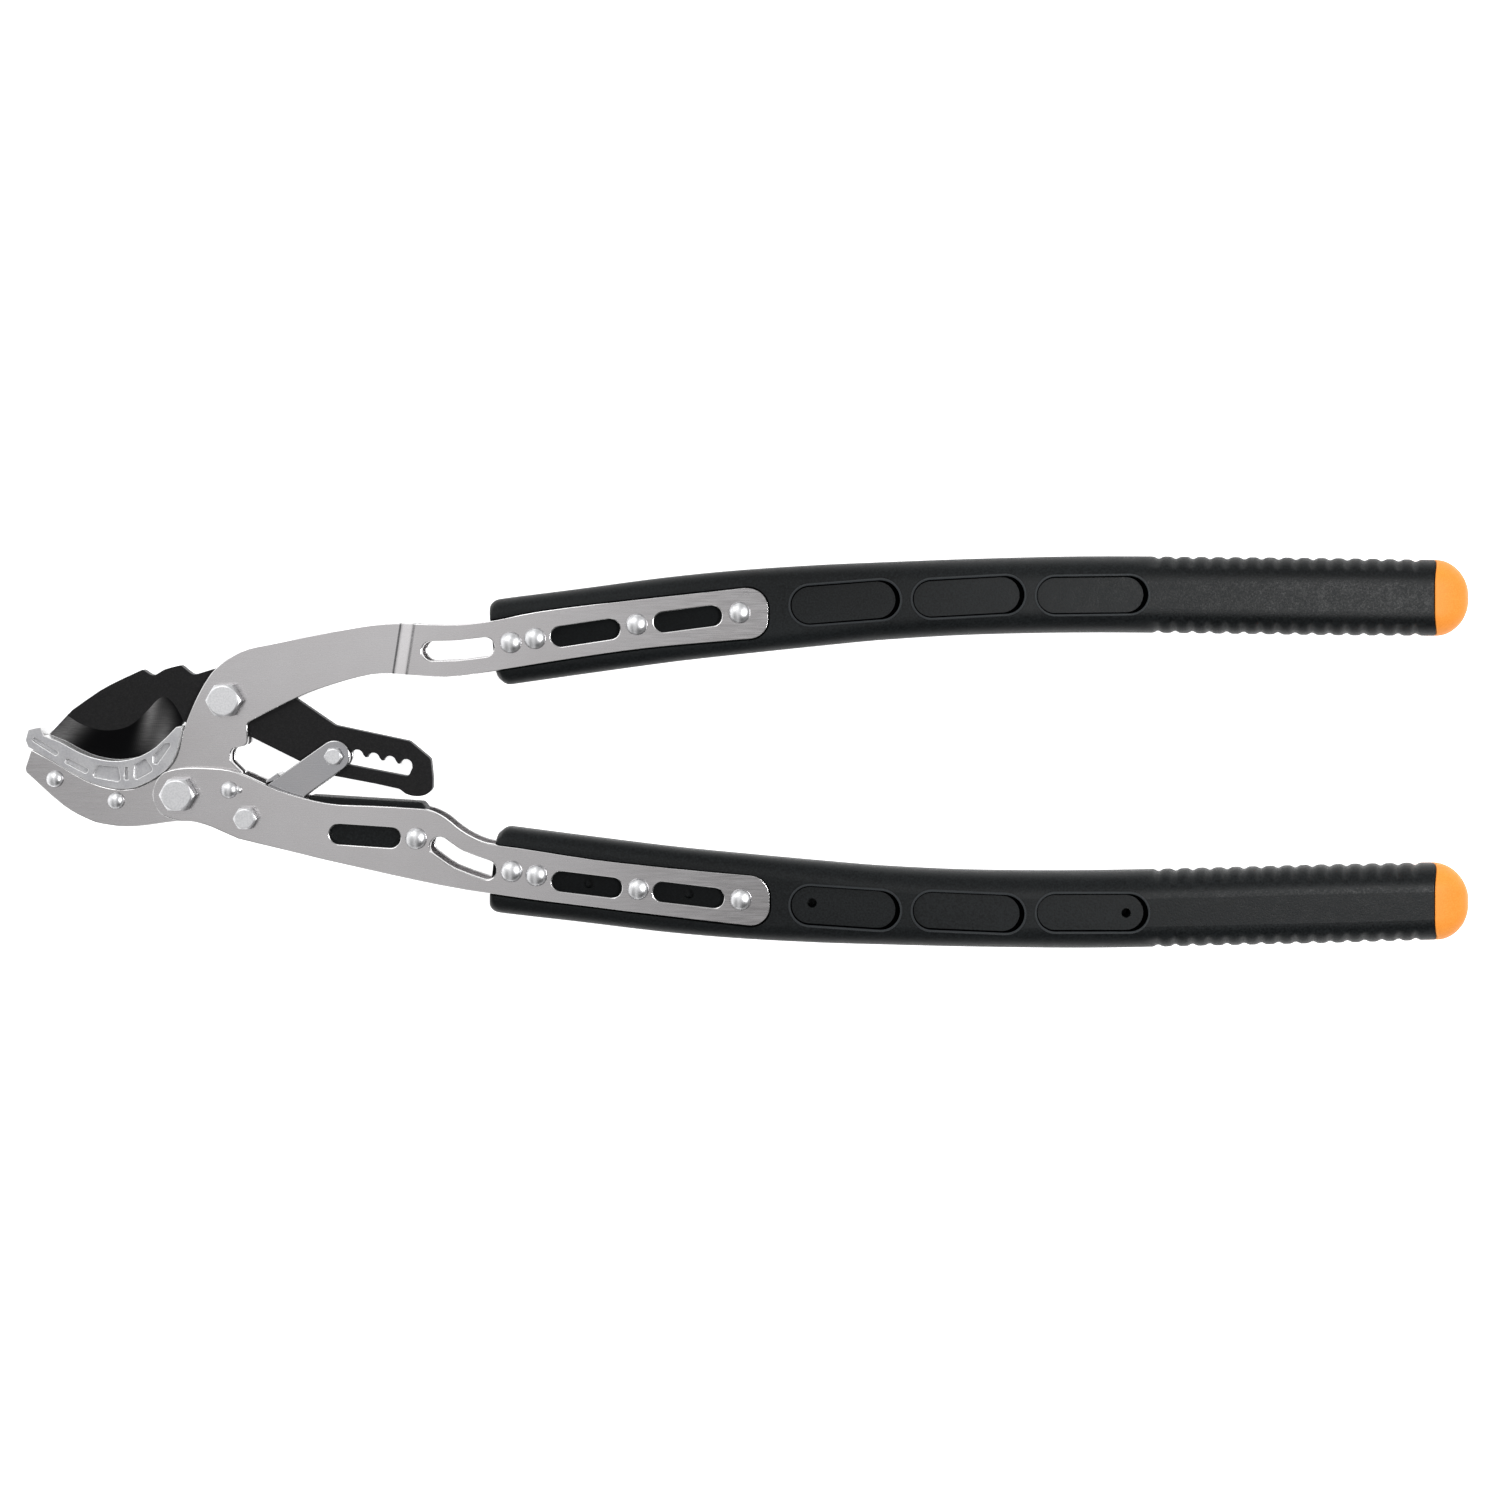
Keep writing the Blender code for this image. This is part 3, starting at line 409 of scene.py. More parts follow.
# %% Spring steel
SPRING, wire = new_finish("spring_steel")
draw_lines = wire.grain(0.4, (1, 1, 8))
tint = wire.grain(3.0)
wire.wear(Base_Color=wire.blend(tint, shade(0.34, 0.33, 0.32), shade(0.22, 0.21, 0.20)),
          Metallic=1.0, Roughness=draw_lines * 0.2 + 0.22,
          Normal=wire.bump(draw_lines, 0.02, 0.5))
print("spring wire is drawn, so its lines run along it")

# %% [markdown]
# ## From drawing to outline
# A sheet part is a line on the drawing that runs through marked points. A point with two
# numbers is a smooth one, where the line bends gently. A third number makes it a corner with
# that radius. The helpers turn such a list into a fine outline, and draw slots and round holes
# the same way.

# %% Outline helpers
SMOOTH = -1                  # stands for the radius of a smooth point
FINE_TURN = math.radians(9)  # a corner's arc has a point for each such turn
LINE_TURN = math.radians(4)  # a smooth line has a point for each such turn
LINE_STEP = 16               # and for each such length
SIDE_SHARE = 0.48            # a corner's arc takes at most this share of a side


def glide(p, q, u, v, t):
    """Smooth passage from p to q that leaves along u and arrives along v."""
    return (p * (2 * t**3 - 3 * t**2 + 1) + u * (t**3 - 2 * t**2 + t)
            + q * (3 * t**2 - 2 * t**3) + v * (t**3 - t**2))


def corner(before, node, after):
    """Points of a corner's arc."""
    here = Vector(node[:2])
    a = Vector(before[:2]) - here
    b = Vector(after[:2]) - here
    if node[2] <= 0:
        return [here]
    half = a.angle(b) / 2
    reach = min(node[2] / math.tan(half), a.length * SIDE_SHARE, b.length * SIDE_SHARE)
    radius = reach * math.tan(half)
    centre = here + (a.normalized() + b.normalized()).normalized() * (radius / math.sin(half))
    start = here + a.normalized() * reach - centre
    turn = math.pi - 2 * half
    sign = 1 if a.cross(b) < 0 else -1
    steps = max(2, math.ceil(turn / FINE_TURN))
    return [centre + Matrix.Rotation(sign * turn * i / steps, 2) @ start
            for i in range(steps + 1)]


def heading(nodes, i, closed):
    """Direction of the line where it passes a smooth point."""
    n = len(nodes)
    ahead = nodes[(i + 1) % n] if closed else nodes[min(i + 1, n - 1)]
    behind = nodes[(i - 1) % n] if closed else nodes[max(i - 1, 0)]
    return (Vector(ahead[:2]) - Vector(behind[:2])).normalized()


def trace(nodes, closed=True):
    """Fine outline through smooth points, which give no radius, and corners, which do."""
    nodes = [(*node, SMOOTH)[:3] for node in nodes]
    n = len(nodes)
    runs = []
    for i, node in enumerate(nodes):
        plain = node[2] == SMOOTH or (not closed and i in (0, n - 1))
        after = nodes[(i + 1) % n]
        runs.append([Vector(node[:2])] if plain else corner(nodes[i - 1], node, after))
    points = []
    for i in range(n if closed else n - 1):
        j = (i + 1) % n
        points += runs[i]
        if nodes[i][2] != SMOOTH and nodes[j][2] != SMOOTH:
            continue
        p, q = runs[i][-1], runs[j][0]
        span = (q - p).length
        u = heading(nodes, i, closed) * span if nodes[i][2] == SMOOTH else (q - p)
        v = heading(nodes, j, closed) * span if nodes[j][2] == SMOOTH else (q - p)
        bend = u.angle(q - p) + v.angle(q - p)
        steps = 1 + int(bend / LINE_TURN) + int(span / LINE_STEP)
        points += [glide(p, q, u, v, k / steps) for k in range(1, steps)]
    return points + (runs[-1] if not closed else [])


def offset(points, distance, closed=True):
    """Shifts a line to the left of its direction."""
    n = len(points)
    moved = []
    for i, p in enumerate(points):
        a = points[(i - 1) % n] if closed else points[max(i - 1, 0)]
        b = points[(i + 1) % n] if closed else points[min(i + 1, n - 1)]
        d = (b - a).normalized()
        moved.append(p + Vector((-d.y, d.x)) * distance)
    return moved


def resample(points, count):
    """Evenly spaced points along an open line."""
    lengths = [0.0]
    for a, b in zip(points, points[1:]):
        lengths.append(lengths[-1] + (b - a).length)
    out = []
    for k in range(count):
        want = lengths[-1] * k / (count - 1)
        i = max(j for j in range(len(points) - 1) if lengths[j] <= want + 1e-9)
        share = (want - lengths[i]) / (lengths[i + 1] - lengths[i])
        out.append(points[i].lerp(points[i + 1], min(1.0, share)))
    return out


def circle(centre, radius, count=48):
    return [Vector(centre) + Vector((math.cos(math.tau * i / count),
                                     math.sin(math.tau * i / count))) * radius
            for i in range(count)]


def arc(centre, radius, start, turn, steps):
    """Points along part of a circle; the start and the turn are in degrees."""
    angles = [math.radians(start + turn * k / steps) for k in range(steps + 1)]
    return [centre + Vector((math.cos(a), math.sin(a))) * radius for a in angles]


def slot(ends, radius, steps=16):
    """Round-ended slot through two or three centres."""
    mids = [Vector(m) for m in ends]
    if len(mids) > 2:
        mids = trace(mids, closed=False)
    right = offset(mids, -radius, closed=False)
    left = offset(mids, radius, closed=False)
    points = []
    for line, centre in ((right, mids[-1]), (left[::-1], mids[0])):
        points += line
        arm = line[-1] - centre
        points += [centre + Matrix.Rotation(math.pi * k / steps, 2) @ arm
                   for k in range(1, steps)]
    return points


print("a 5 mm slot end has", len(slot(((0, 0), (20, 0)), 5.0)), "points")

# %% [markdown]
# ## Rounding the edges of sheet
# Pressed sheet never has a knife edge: tumbling rounds it, and the bright line along that
# round is what makes a plate look like metal. A flat filled curve gives the plate and its
# rounded rim in one go. Its flat faces keep flat shading, and only the rim is smooth.

# %% Sheet maker


def add_loop(curve, points):
    """A closed line of straight pieces, flat or not."""
    spline = curve.splines.new("POLY")
    spline.points.add(len(points) - 1)
    for point, at in zip(spline.points, points):
        x, y, z = (*at, 0)[:3]
        point.co = (x * MM, y * MM, z * MM, 1)
    spline.use_cyclic_u = True


def from_curve(curve, merge):
    """Takes a curve's solid as a mesh to work on, and merges points nearer than given."""
    holder = bpy.data.objects.new("outline", curve)
    bpy.context.scene.collection.objects.link(holder)
    mesh = bpy.data.meshes.new_from_object(holder)
    bpy.data.objects.remove(holder)
    bpy.data.curves.remove(curve)
    bm = bmesh.new()
    bm.from_mesh(mesh)
    bpy.data.meshes.remove(mesh)
    bmesh.ops.remove_doubles(bm, verts=bm.verts, dist=merge * MM)
    return bm


def face_out(bm):
    bm.normal_update()
    bmesh.ops.recalc_face_normals(bm, faces=bm.faces)
    return bm


def flat_sheet(loops, low, high, rounding, segments=2):
    """Solid between two heights from closed outlines, the inner ones being holes."""
    curve = bpy.data.curves.new("outline", "CURVE")
    curve.dimensions = "2D"
    curve.fill_mode = "BOTH"
    curve.extrude = ((high - low) / 2 - rounding) * MM
    curve.bevel_depth = rounding * MM
    curve.bevel_resolution = segments
    curve.offset = -rounding * MM
    for loop in loops:
        add_loop(curve, loop)
    bm = from_curve(curve, 0.004)
    bmesh.ops.dissolve_degenerate(bm, edges=bm.edges, dist=0.002 * MM)
    bmesh.ops.translate(bm, verts=bm.verts, vec=(0, 0, (low + high) / 2 * MM))
    return face_out(bm)


NO_FACE = 0.0
ANY_FACE = 1.1


def mark(bm, name, steepest, strength=1.0):
    """Paints a mask on the faces whose upward share stays under the given one."""
    layer = bm.faces.layers.float.new(name)
    for face in bm.faces:
        face[layer] = strength * (abs(face.normal.z) < steepest)
    return bm


def paint_rim(bm):
    """Marks every face that isn't one of the two flat ones."""
    return mark(bm, "rim", 0.999)


def sheet_mesh(loops, low, high, rounding, name):
    """A sheet part with its rim painted, as a finished mesh."""
    return as_mesh(paint_rim(flat_sheet(loops, low, high, rounding)), name)


def as_mesh(bm, name):
    mesh = bpy.data.meshes.new(name)
    bm.to_mesh(mesh)
    bm.free()
    return mesh


def shade_rounded(mesh, angle):
    """Smooth shading that keeps flat faces flat."""
    mesh.shade_smooth()
    mesh.set_sharp_from_angle(angle=math.radians(angle))
    bm = bmesh.new()
    bm.from_mesh(mesh)
    for edge in bm.edges:
        flats = [abs(face.normal.z) > 0.9995 for face in edge.link_faces]
        if len(flats) == 2 and flats[0] != flats[1]:
            edge.smooth = False
    bm.to_mesh(mesh)
    bm.free()


def place(node, mesh, material, body, slot_name, angle=30):
    """Lays a drawn mesh where its plain node is and lets it ride on its body."""
    mesh.transform(Matrix.Translation(HOME))
    shade_rounded(mesh, angle)
    mesh.materials.clear()
    mesh.materials.append(material)
    piece = bpy.data.objects.new(node + "_fine", mesh)
    bpy.context.scene.collection.objects.link(piece)
    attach(piece, body)
    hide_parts(node)
    print(f"{node}: {len(mesh.polygons)} faces")


# %% [markdown]
# ## Cutting and joining solids
# Milled seats, sockets and cast pockets are easiest to think of as one solid taken away from
# another. The helper sets up Blender's exact Boolean, keeps its result and throws the tool
# away, so no piece is left with a live modifier.

# %% Boolean helper
TRIES = 5
HAIR = 0.0005 * MM


def tallest(mesh):
    return max(abs(vert.co.z) for vert in mesh.vertices)


def combine(mesh, tool_mesh, operation):
    """One mesh cut by another, or joined to it. A cut that left part of its tool behind would
    be taller than before, so it's made again with the tool moved by a hair."""
    for _ in range(TRIES):
        body = bpy.data.objects.new("worked", mesh)
        tool = bpy.data.objects.new("tool", tool_mesh)
        for ob in (body, tool):
            bpy.context.scene.collection.objects.link(ob)
        step = body.modifiers.new("step", "BOOLEAN")
        step.operation = operation
        step.solver = "EXACT"
        step.object = tool
        graph = bpy.context.evaluated_depsgraph_get()
        made = bpy.data.meshes.new_from_object(body.evaluated_get(graph))
        bpy.data.objects.remove(body)
        bpy.data.objects.remove(tool)
        if operation == "UNION" or tallest(made) <= tallest(mesh) + HAIR:
            break
        tool_mesh.transform(Matrix.Translation((HAIR, HAIR, 0)))
        print("a cut was made again")
    bpy.data.meshes.remove(mesh)
    bpy.data.meshes.remove(tool_mesh)
    return made


def gather(parts):
    """Several separate solids in one mesh."""
    bm = bmesh.new()
    for part in parts:
        mesh = as_mesh(part, "part")
        bm.from_mesh(mesh)
        bpy.data.meshes.remove(mesh)
    return as_mesh(bm, "gathered")


# %% [markdown]
# ## The frame plates
# Jaw, arm and strap are one pressing, and the tool has two of them, back to back. Behind the
# pivot each plate steps outwards, to make room for the handle's moulding. The step is made
# by slicing the flat plate across and lifting the slices along a smooth S.

# %% Heights of the layers
BLADE_HALF = 2.1
FRAME_IN = 2.4
FRAME_OUT = 5.4
LINK_OUT = 5.2
PLATE_IN = 5.7
PLATE_OUT = 8.7
GAP = 0.3                    # room round a shank and under a head
SHEET_EDGE = 0.5
BIG_SHANK = 4.0
SMALL_SHANK = 3.0
PIN_SHANK = 2.5
JAW_SHANK = 2.2
RIVET_SHANK = 2.8
SIDES = (("front", 1), ("rear", -1))
HALVES = ((False, "upper", "frame"), (True, "lower", "lower_arm"))


def hole(at, shank, count=48):
    """Outline of the hole for a shank."""
    return circle(at, shank + GAP, count)


def small_holes(places, shank):
    return [hole(at, shank, 24) for at in places]


print("the two lower plates are", 2 * PLATE_OUT, "mm apart over all")


# %% Frame plate outline
JAW_CRADLE = (
    (-95.0, -24.0, 1.0), (-84.5, -29.6), (-72.8, -36.7), (-62.5, -41.4),
    (-51.7, -43.5), (-42.0, -42.2), (-29.3, -34.8), (-23.7, -26.7),
    (-20.3, -13.1),
)
FRAME = JAW_CRADLE + (
    (-13.3, 3.1), (-5.3, 15.1), (7.4, 23.9), (22.3, 27.6), (67.1, 36.2),
    (84.0, 37.5), (100.0, 37.0), (113.3, 36.9), (127.6, 38.4), (153.6, 43.4),
    (205.6, 49.7), (264.6, 56.1, 10.5), (264.1, 30.4, 9.5), (205.7, 25.2),
    (166.7, 19.8), (127.7, 13.6), (108.0, 11.3), (86.0, 12.6), (70.7, 12.4),
    (44.7, 5.2), (29.7, -1.2), (10.4, -11.2, 2.5), (10.5, -22.0, 2.6),
    (2.4, -23.8, 3.0), (2.4, -30.0, 3.0), (8.0, -35.5, 1.5), (7.0, -38.0, 1.0),
    (-1.2, -39.6, 2.0), (-1.0, -46.0), (-4.5, -55.0), (-12.0, -58.2),
    (-26.9, -59.4), (-38.7, -61.2), (-48.0, -61.8), (-57.3, -60.9),
    (-65.3, -59.0), (-79.0, -51.6), (-98.37, -34.4, 3.0),
)
FRAME_SLOTS = (
    (((100.6, 23.9), (113.5, 24.3), (126.4, 25.9)), 4.7),
    (((163.4, 31.0), (187.2, 34.6)), 4.9),
    (((213.4, 38.0), (236.7, 41.0)), 4.9),
)
STEP_ACROSS = Vector((0.9886, -0.1505, 0.0))
STEP_FROM = 78.0
STEP_TO = 86.4
STEP_SLICES = 18
STEP_BEND = 0.3              # share of the step that each bend takes
# Shares of the step where each bend gets painted shade, and how dark that shade is.
FIRST_BEND_SHADE = (0.0, 0.13, 0.75)
LAST_BEND_SHADE = (0.86, 1.0, 0.3)
print("points round a frame plate:", len(trace(FRAME)))

# %% Frame plates


def rise(share):
    """Height of the step from 0 to 1: a straight ramp with a short round bend at each end."""
    share = min(1.0, max(0.0, share))
    if share > 0.5:
        return 1.0 - rise(1.0 - share)
    if share < STEP_BEND:
        return share * share / (2 * STEP_BEND * (1 - STEP_BEND))
    return (share - STEP_BEND / 2) / (1 - STEP_BEND)


def through_step(place):
    """How far a place is through the step: 0 where it starts, 1 where it ends."""
    return (STEP_ACROSS.dot(place) / MM - STEP_FROM) / (STEP_TO - STEP_FROM)


def frame_plate(side):
    """One pressed frame plate; side is 1 for the front and -1 for the rear."""
    loops = [trace(FRAME), hole(BLADE_PIN, BIG_SHANK), hole(HANDLE_PIN, BIG_SHANK)]
    loops += small_holes(JAW_RIVETS, JAW_SHANK) + small_holes(UPPER_RIVETS, RIVET_SHANK)
    loops += [slot(*spec) for spec in FRAME_SLOTS]
    bm = paint_rim(flat_sheet(loops, FRAME_IN, FRAME_OUT, SHEET_EDGE))
    for k in range(STEP_SLICES + 1):
        at = STEP_FROM + (STEP_TO - STEP_FROM) * k / STEP_SLICES
        geom = bm.verts[:] + bm.edges[:] + bm.faces[:]
        bmesh.ops.bisect_plane(bm, geom=geom, plane_co=STEP_ACROSS * at * MM,
                               plane_no=STEP_ACROSS)
    for vert in bm.verts:
        vert.co.z += (PLATE_IN - FRAME_IN) * MM * rise(through_step(vert.co))
    # Paints shade on the faces at the step's two bends.
    layer = bm.faces.layers.float.new("painted_bend_shade")
    for face in bm.faces:
        share = through_step(face.calc_center_median())
        face[layer] = sum(dark * (low < share < high)
                          for low, high, dark in (FIRST_BEND_SHADE, LAST_BEND_SHADE))
    if side < 0:
        bmesh.ops.scale(bm, verts=bm.verts, vec=(1, 1, -1))
        bmesh.ops.reverse_faces(bm, faces=bm.faces)
    return as_mesh(bm, "frame_plate")


for word, side in SIDES:
    place("frame_plate_" + word, frame_plate(side), STEEL, "frame", "brushed_steel")

# %% [markdown]
# ## The lower arm's plates
# Two more pressings carry the lower handle. They are flat, and their long edge swells over a
# black spacer block that keeps the pair apart. The curved slot saves weight and shows the
# table through it.

# %% Lower plates
LOWER = (
    (-21.5, -32.9), (-30.7, -36.1), (-34.8, -45.4), (-31.2, -54.6),
    (-22.0, -58.5), (-14.8, -59.0), (-6.2, -61.4), (6.8, -67.2, 3.0),
    (56.6, -79.2), (104.9, -89.8), (143.0, -95.9), (179.6, -100.5),
    (218.6, -105.4), (265.2, -110.8, 9.5), (264.8, -85.6, 10.5), (231.6, -82.7),
    (179.6, -77.1), (143.1, -71.5), (128.5, -69.5), (121.9, -67.3),
    (114.4, -63.0), (107.6, -57.5), (101.5, -54.1), (95.4, -52.5),
    (70.8, -51.1), (50.0, -49.9), (26.8, -43.8), (13.3, -37.8), (3.0, -33.9),
    (-10.0, -32.7),
)
LOWER_SLOTS = (
    (((55.9, -64.9), (80.7, -66.6)), 4.9),
    (((104.6, -71.0), (113.8, -77.3), (127.4, -82.3)), 4.7),
    (((163.8, -87.9), (188.3, -90.9)), 4.8),
    (((212.9, -93.0), (237.8, -95.9)), 4.8),
)


def lower_plate(side):
    loops = [trace(LOWER), hole(HANDLE_PIN, BIG_SHANK), hole(LINK_PIN, SMALL_SHANK)]
    loops += small_holes([STOP_PIN], JAW_SHANK)
    loops += small_holes(LOWER_RIVETS + [SPACER_RIVET], RIVET_SHANK)
    loops += [slot(*spec) for spec in LOWER_SLOTS]
    low, high = sorted((PLATE_IN * side, PLATE_OUT * side))
    return sheet_mesh(loops, low, high, SHEET_EDGE, "lower_plate")


for word, side in SIDES:
    place("lower_plate_" + word, lower_plate(side), STEEL, "lower_arm", "brushed_steel")

# %% Spacer block
BLOCK_EDGE = 0.8
BLOCK = (
    (40.3, -46.7, 1.0), (95.6, -50.1, 2.5), (98.2, -54.0, 2.5), (97.0, -63.0, 3.0),
    (95.8, -74.5, 2.0), (40.8, -74.0, 2.0),
)
block_loops = [trace(BLOCK)] + small_holes([SPACER_RIVET], RIVET_SHANK)
block = flat_sheet(block_loops, -FRAME_OUT, FRAME_OUT, BLOCK_EDGE)
place("spacer_block", as_mesh(block, "block"), BLACK, "lower_arm", "black_nylon")

# %% [markdown]
# ## The blade
# The blade is flat steel with a black coating. Its cutting side is ground down to a thin edge
# that follows the anvil, and its tail carries the ratchet's row of notches. The ground side
# is a grid of squares rolled up into a wedge, which is then joined to the flat body.

# %% Blade outlines
CUT_LINE = (
    (-88.0, -17.2), (-80.2, -20.3), (-72.2, -24.7), (-64.2, -27.9),
    (-53.5, -29.5), (-42.8, -27.7), (-33.5, -22.6), (-23.8, -13.0),
)
GRIND_LINE = (
    (-78.6, -7.7), (-71.0, -12.3), (-59.6, -15.1), (-48.4, -12.9),
    (-39.9, -5.9), (-32.2, 1.4), (-27.8, -0.6), (-24.0, -6.0), (-21.9, -10.4),
)
SPINE = (
    (-76.2, -5.1), (-62.6, 4.4), (-52.2, 9.9), (-41.6, 14.8, 1.5), (-36.6, 11.4, 3.5),
    (-30.8, 14.8), (-23.0, 16.9, 1.5), (-17.0, 11.9, 4.0), (-6.3, 15.2), (4.0, 17.5),
    (16.0, 12.5), (33.4, 0.5), (52.5, -12.6, 6.0), (88.8, -20.3, 3.5),
    (99.2, -29.0, 2.5), (100.1, -42.6), (97.3, -46.2), (92.2, -47.3),
    (87.2, -46.2), (83.2, -43.6), (48.0, -36.6, 8.0), (9.7, -17.5, 5.0),
    (3.0, -20.8), (-6.0, -21.5), (-13.8, -17.8), (-18.9, -12.4, 0.6),
)
NOTCHES = 4
NOTCH_FIRST = Vector((63.0, -27.5))
NOTCH_STEP = Vector((8.0, -1.57))
NOTCH_RADIUS = 3.05
NOTCH_HOOK = Vector((-3.95, 0.85))
HOME_LOBE = Vector((52.9, -27.3))
HOME_RADIUS = 4.2
NOTCH_END = ((90.1, -33.4, 0), (88.2, -37.6, 2.0), (59.2, -31.9, 0))


def notch_line():
    """Ratchet slot: the home lobe, four hooked notches and a plain lower edge."""
    points = arc(HOME_LOBE, HOME_RADIUS, -60, -270, 24)
    for n in range(NOTCHES):
        mid = NOTCH_FIRST + NOTCH_STEP * n
        points.append(mid + NOTCH_HOOK)
        points += arc(mid, NOTCH_RADIUS, 165, -150, 14)
    first, _, last = (Vector(node[:2]) for node in NOTCH_END)
    return points + [first] + corner(*NOTCH_END) + [last]


print("points round the ratchet slot:", len(notch_line()))

# %% Rolled grids


def rolled_grid(along, around, where):
    """Skin of along by around squares; where gives the place of each corner."""
    bm = bmesh.new()
    bmesh.ops.create_grid(bm, x_segments=along, y_segments=around, size=0.5)
    for vert in bm.verts:
        s = round((vert.co.x + 0.5) * along)
        t = round((vert.co.y + 0.5) * around)
        vert.co = Vector(where(s, t % around)) * MM
    bmesh.ops.remove_doubles(bm, verts=bm.verts, dist=0.0005 * MM)
    bmesh.ops.holes_fill(bm, edges=[e for e in bm.edges if e.is_boundary], sides=0)
    return face_out(bm)


# %% Blade
GRIND_STEPS = 60
HEEL_STEP = GRIND_STEPS * 13 // 14
HEEL = Vector((-22.6, -11.9))
EDGE_ROOM = 0.12             # the edge stops this far from the anvil's bed
WEDGE_LAP = 0.8              # the wedge reaches this far into the flat body
BLADE_EDGE = 0.22
EDGE_HALF = 0.2              # half the edge's thickness, and what the heel adds to it
HEEL_HALF = 1.3
THICK_FROM = 0.71
THICK_SPAN = 0.29
# Bands of painted reflection on the ground side: where each lies along it, its width and its
# strength.
TIP_GLEAM = (0.06, 0.085, 0.8)
HEEL_GLEAM = (0.675, 0.07, 1.1)
HEEL_EDGE_GLEAM = (0.82, 0.09, 0.85)


def blade_mesh():
    grind = resample(trace(GRIND_LINE, closed=False), GRIND_STEPS + 1)
    edge = resample(trace(CUT_LINE, closed=False), GRIND_STEPS + 1)
    edge = offset(edge, EDGE_ROOM, closed=False)
    for i in range(HEEL_STEP, GRIND_STEPS + 1):
        edge[i] = edge[HEEL_STEP].lerp(HEEL, (i - HEEL_STEP) / (GRIND_STEPS - HEEL_STEP))
    inner = offset(grind, WEDGE_LAP, closed=False)
    outline = grind[::-1] + trace(SPINE, closed=False)
    loops = [outline, hole(BLADE_PIN, BIG_SHANK), notch_line()]
    body = sheet_mesh(loops, -BLADE_HALF, BLADE_HALF, BLADE_EDGE, "blade")

    def wedge(s, t):
        heel_share = max(0.0, s / GRIND_STEPS - THICK_FROM) / THICK_SPAN
        thin = EDGE_HALF + HEEL_HALF * heel_share
        line = (inner, grind, edge, edge, grind, inner)[t]
        height = (BLADE_HALF, BLADE_HALF, thin, -thin, -BLADE_HALF, -BLADE_HALF)[t]
        return (*line[s], height)

    ground_side = rolled_grid(GRIND_STEPS, 6, wedge)
    mesh = combine(body, as_mesh(ground_side, "wedge"), "UNION")
    paint_bevel_and_reflections(mesh, grind, edge)
    return mesh


def gleam_at(share, centre, width, strength):
    """A soft band of painted reflection across the ground side, at a share of its length."""
    return strength * math.exp(-((share - centre) / width) ** 2)


def paint_bevel_and_reflections(mesh, grind, edge):
    """Paints reflections on the ground side: near the tip, and slanting across near the heel.
    """
    layer = mesh.attributes.new("painted_reflection", "FLOAT", "CORNER")
    bevel = mesh.attributes.new("bevel", "FLOAT", "CORNER")
    for face in mesh.polygons:
        slanted = 0.9 < abs(face.normal.z) < 0.9999
        for corner_index in face.loop_indices:
            at = mesh.vertices[mesh.loops[corner_index].vertex_index].co.xy / MM
            line = min(grind, edge, key=lambda way: min((p - at).length for p in way))
            near = min(range(len(line)), key=lambda i: (line[i] - at).length)
            share = near / (len(line) - 1)
            back = gleam_at(share, *(HEEL_GLEAM if line is grind else HEEL_EDGE_GLEAM))
            value = (gleam_at(share, *TIP_GLEAM) + back) * slanted
            layer.data[corner_index].value = value
            bevel.data[corner_index].value = float(slanted)


place("blade", blade_mesh(), COATED, "cutting_blade", "black_coated_steel", angle=12)

# %% [markdown]
# ## The anvil
# The anvil is a light alloy casting. Its upper face is a smooth bed for the edge, and its
# flank has a row of pockets between ribs, which save metal and let the casting cool evenly.
# The walls are made with the pockets as openings, and a thinner core closes their floors.

# %% Anvil
ANVIL_HALF = 7.0
ANVIL_EDGE = 0.4
POCKET_FLOOR = 4.9
CORE_LAP = 0.45              # the core's pieces reach this far into the walls
SHARP = 0.01                 # the least rounding that a sheet takes
TANG_EDGE = 0.2
POCKETS_CAST = (
    ((-93.0, -17.9, 1.1), (-80.9, -25.4, 0.8), (-82.1, -27.0, 0.8), (-94.0, -19.4, 1.1)),
    ((-77.1, -28.0, 0.8), (-66.4, -33.6, 0.9), (-67.5, -35.7, 1.1), (-77.8, -30.3, 0.9)),
    ((-62.4, -31.7, 1.2), (-52.0, -32.6, 1.2), (-50.7, -39.7, 1.4), (-64.5, -37.1, 1.4)),
    ((-48.7, -32.6, 0.5), (-47.2, -32.6, 0.5), (-47.0, -38.6, 0.5), (-48.9, -38.6, 0.5)),
    ((-43.9, -31.6, 1.0), (-38.9, -28.2, 1.2), (-34.9, -34.0, 1.4), (-44.2, -39.2, 1.2)),
    ((-29.8, -21.1, 0.8), (-25.6, -20.6, 1.0), (-33.2, -31.2, 1.2), (-34.9, -30.6, 0.6),
     (-34.9, -27.2, 0.8)),
)
TANG = (
    (-91.0, -25.0, 0), (-90.0, -38.5, 3), (-76.0, -50.5, 8), (-58.0, -57.0, 6),
    (-44.5, -56.5, 4), (-41.0, -45.0, 2), (-28.0, -37.2, 2), (-21.9, -27.5, 1),
    (-21.4, -24.0, 0.4), (-23.2, -24.0, 0.4), (-25.2, -27.4, 0), (-30.6, -33.2, 0),
    (-42.4, -40.2, 0), (-51.7, -40.5, 0), (-66.0, -36.0, 0),
)


def anvil_outline():
    cut = trace(CUT_LINE, closed=False)
    outer = offset(trace(JAW_CRADLE, closed=False), GAP, closed=False)[::-1]
    tip = trace(((-94.0, -23.6, 0), (-95.9, -22.9, 0.8), (-97.2, -19.4, 1.0),
                 (-95.8, -14.2, 1.0), (-89.9, -12.8, 1.0), (-88.0, -17.2, 0)), closed=False)
    heel = [Vector((-21.6, -12.7)), Vector((-20.5, -12.7))]
    return cut + heel + outer[:-1] + tip[1:-1]


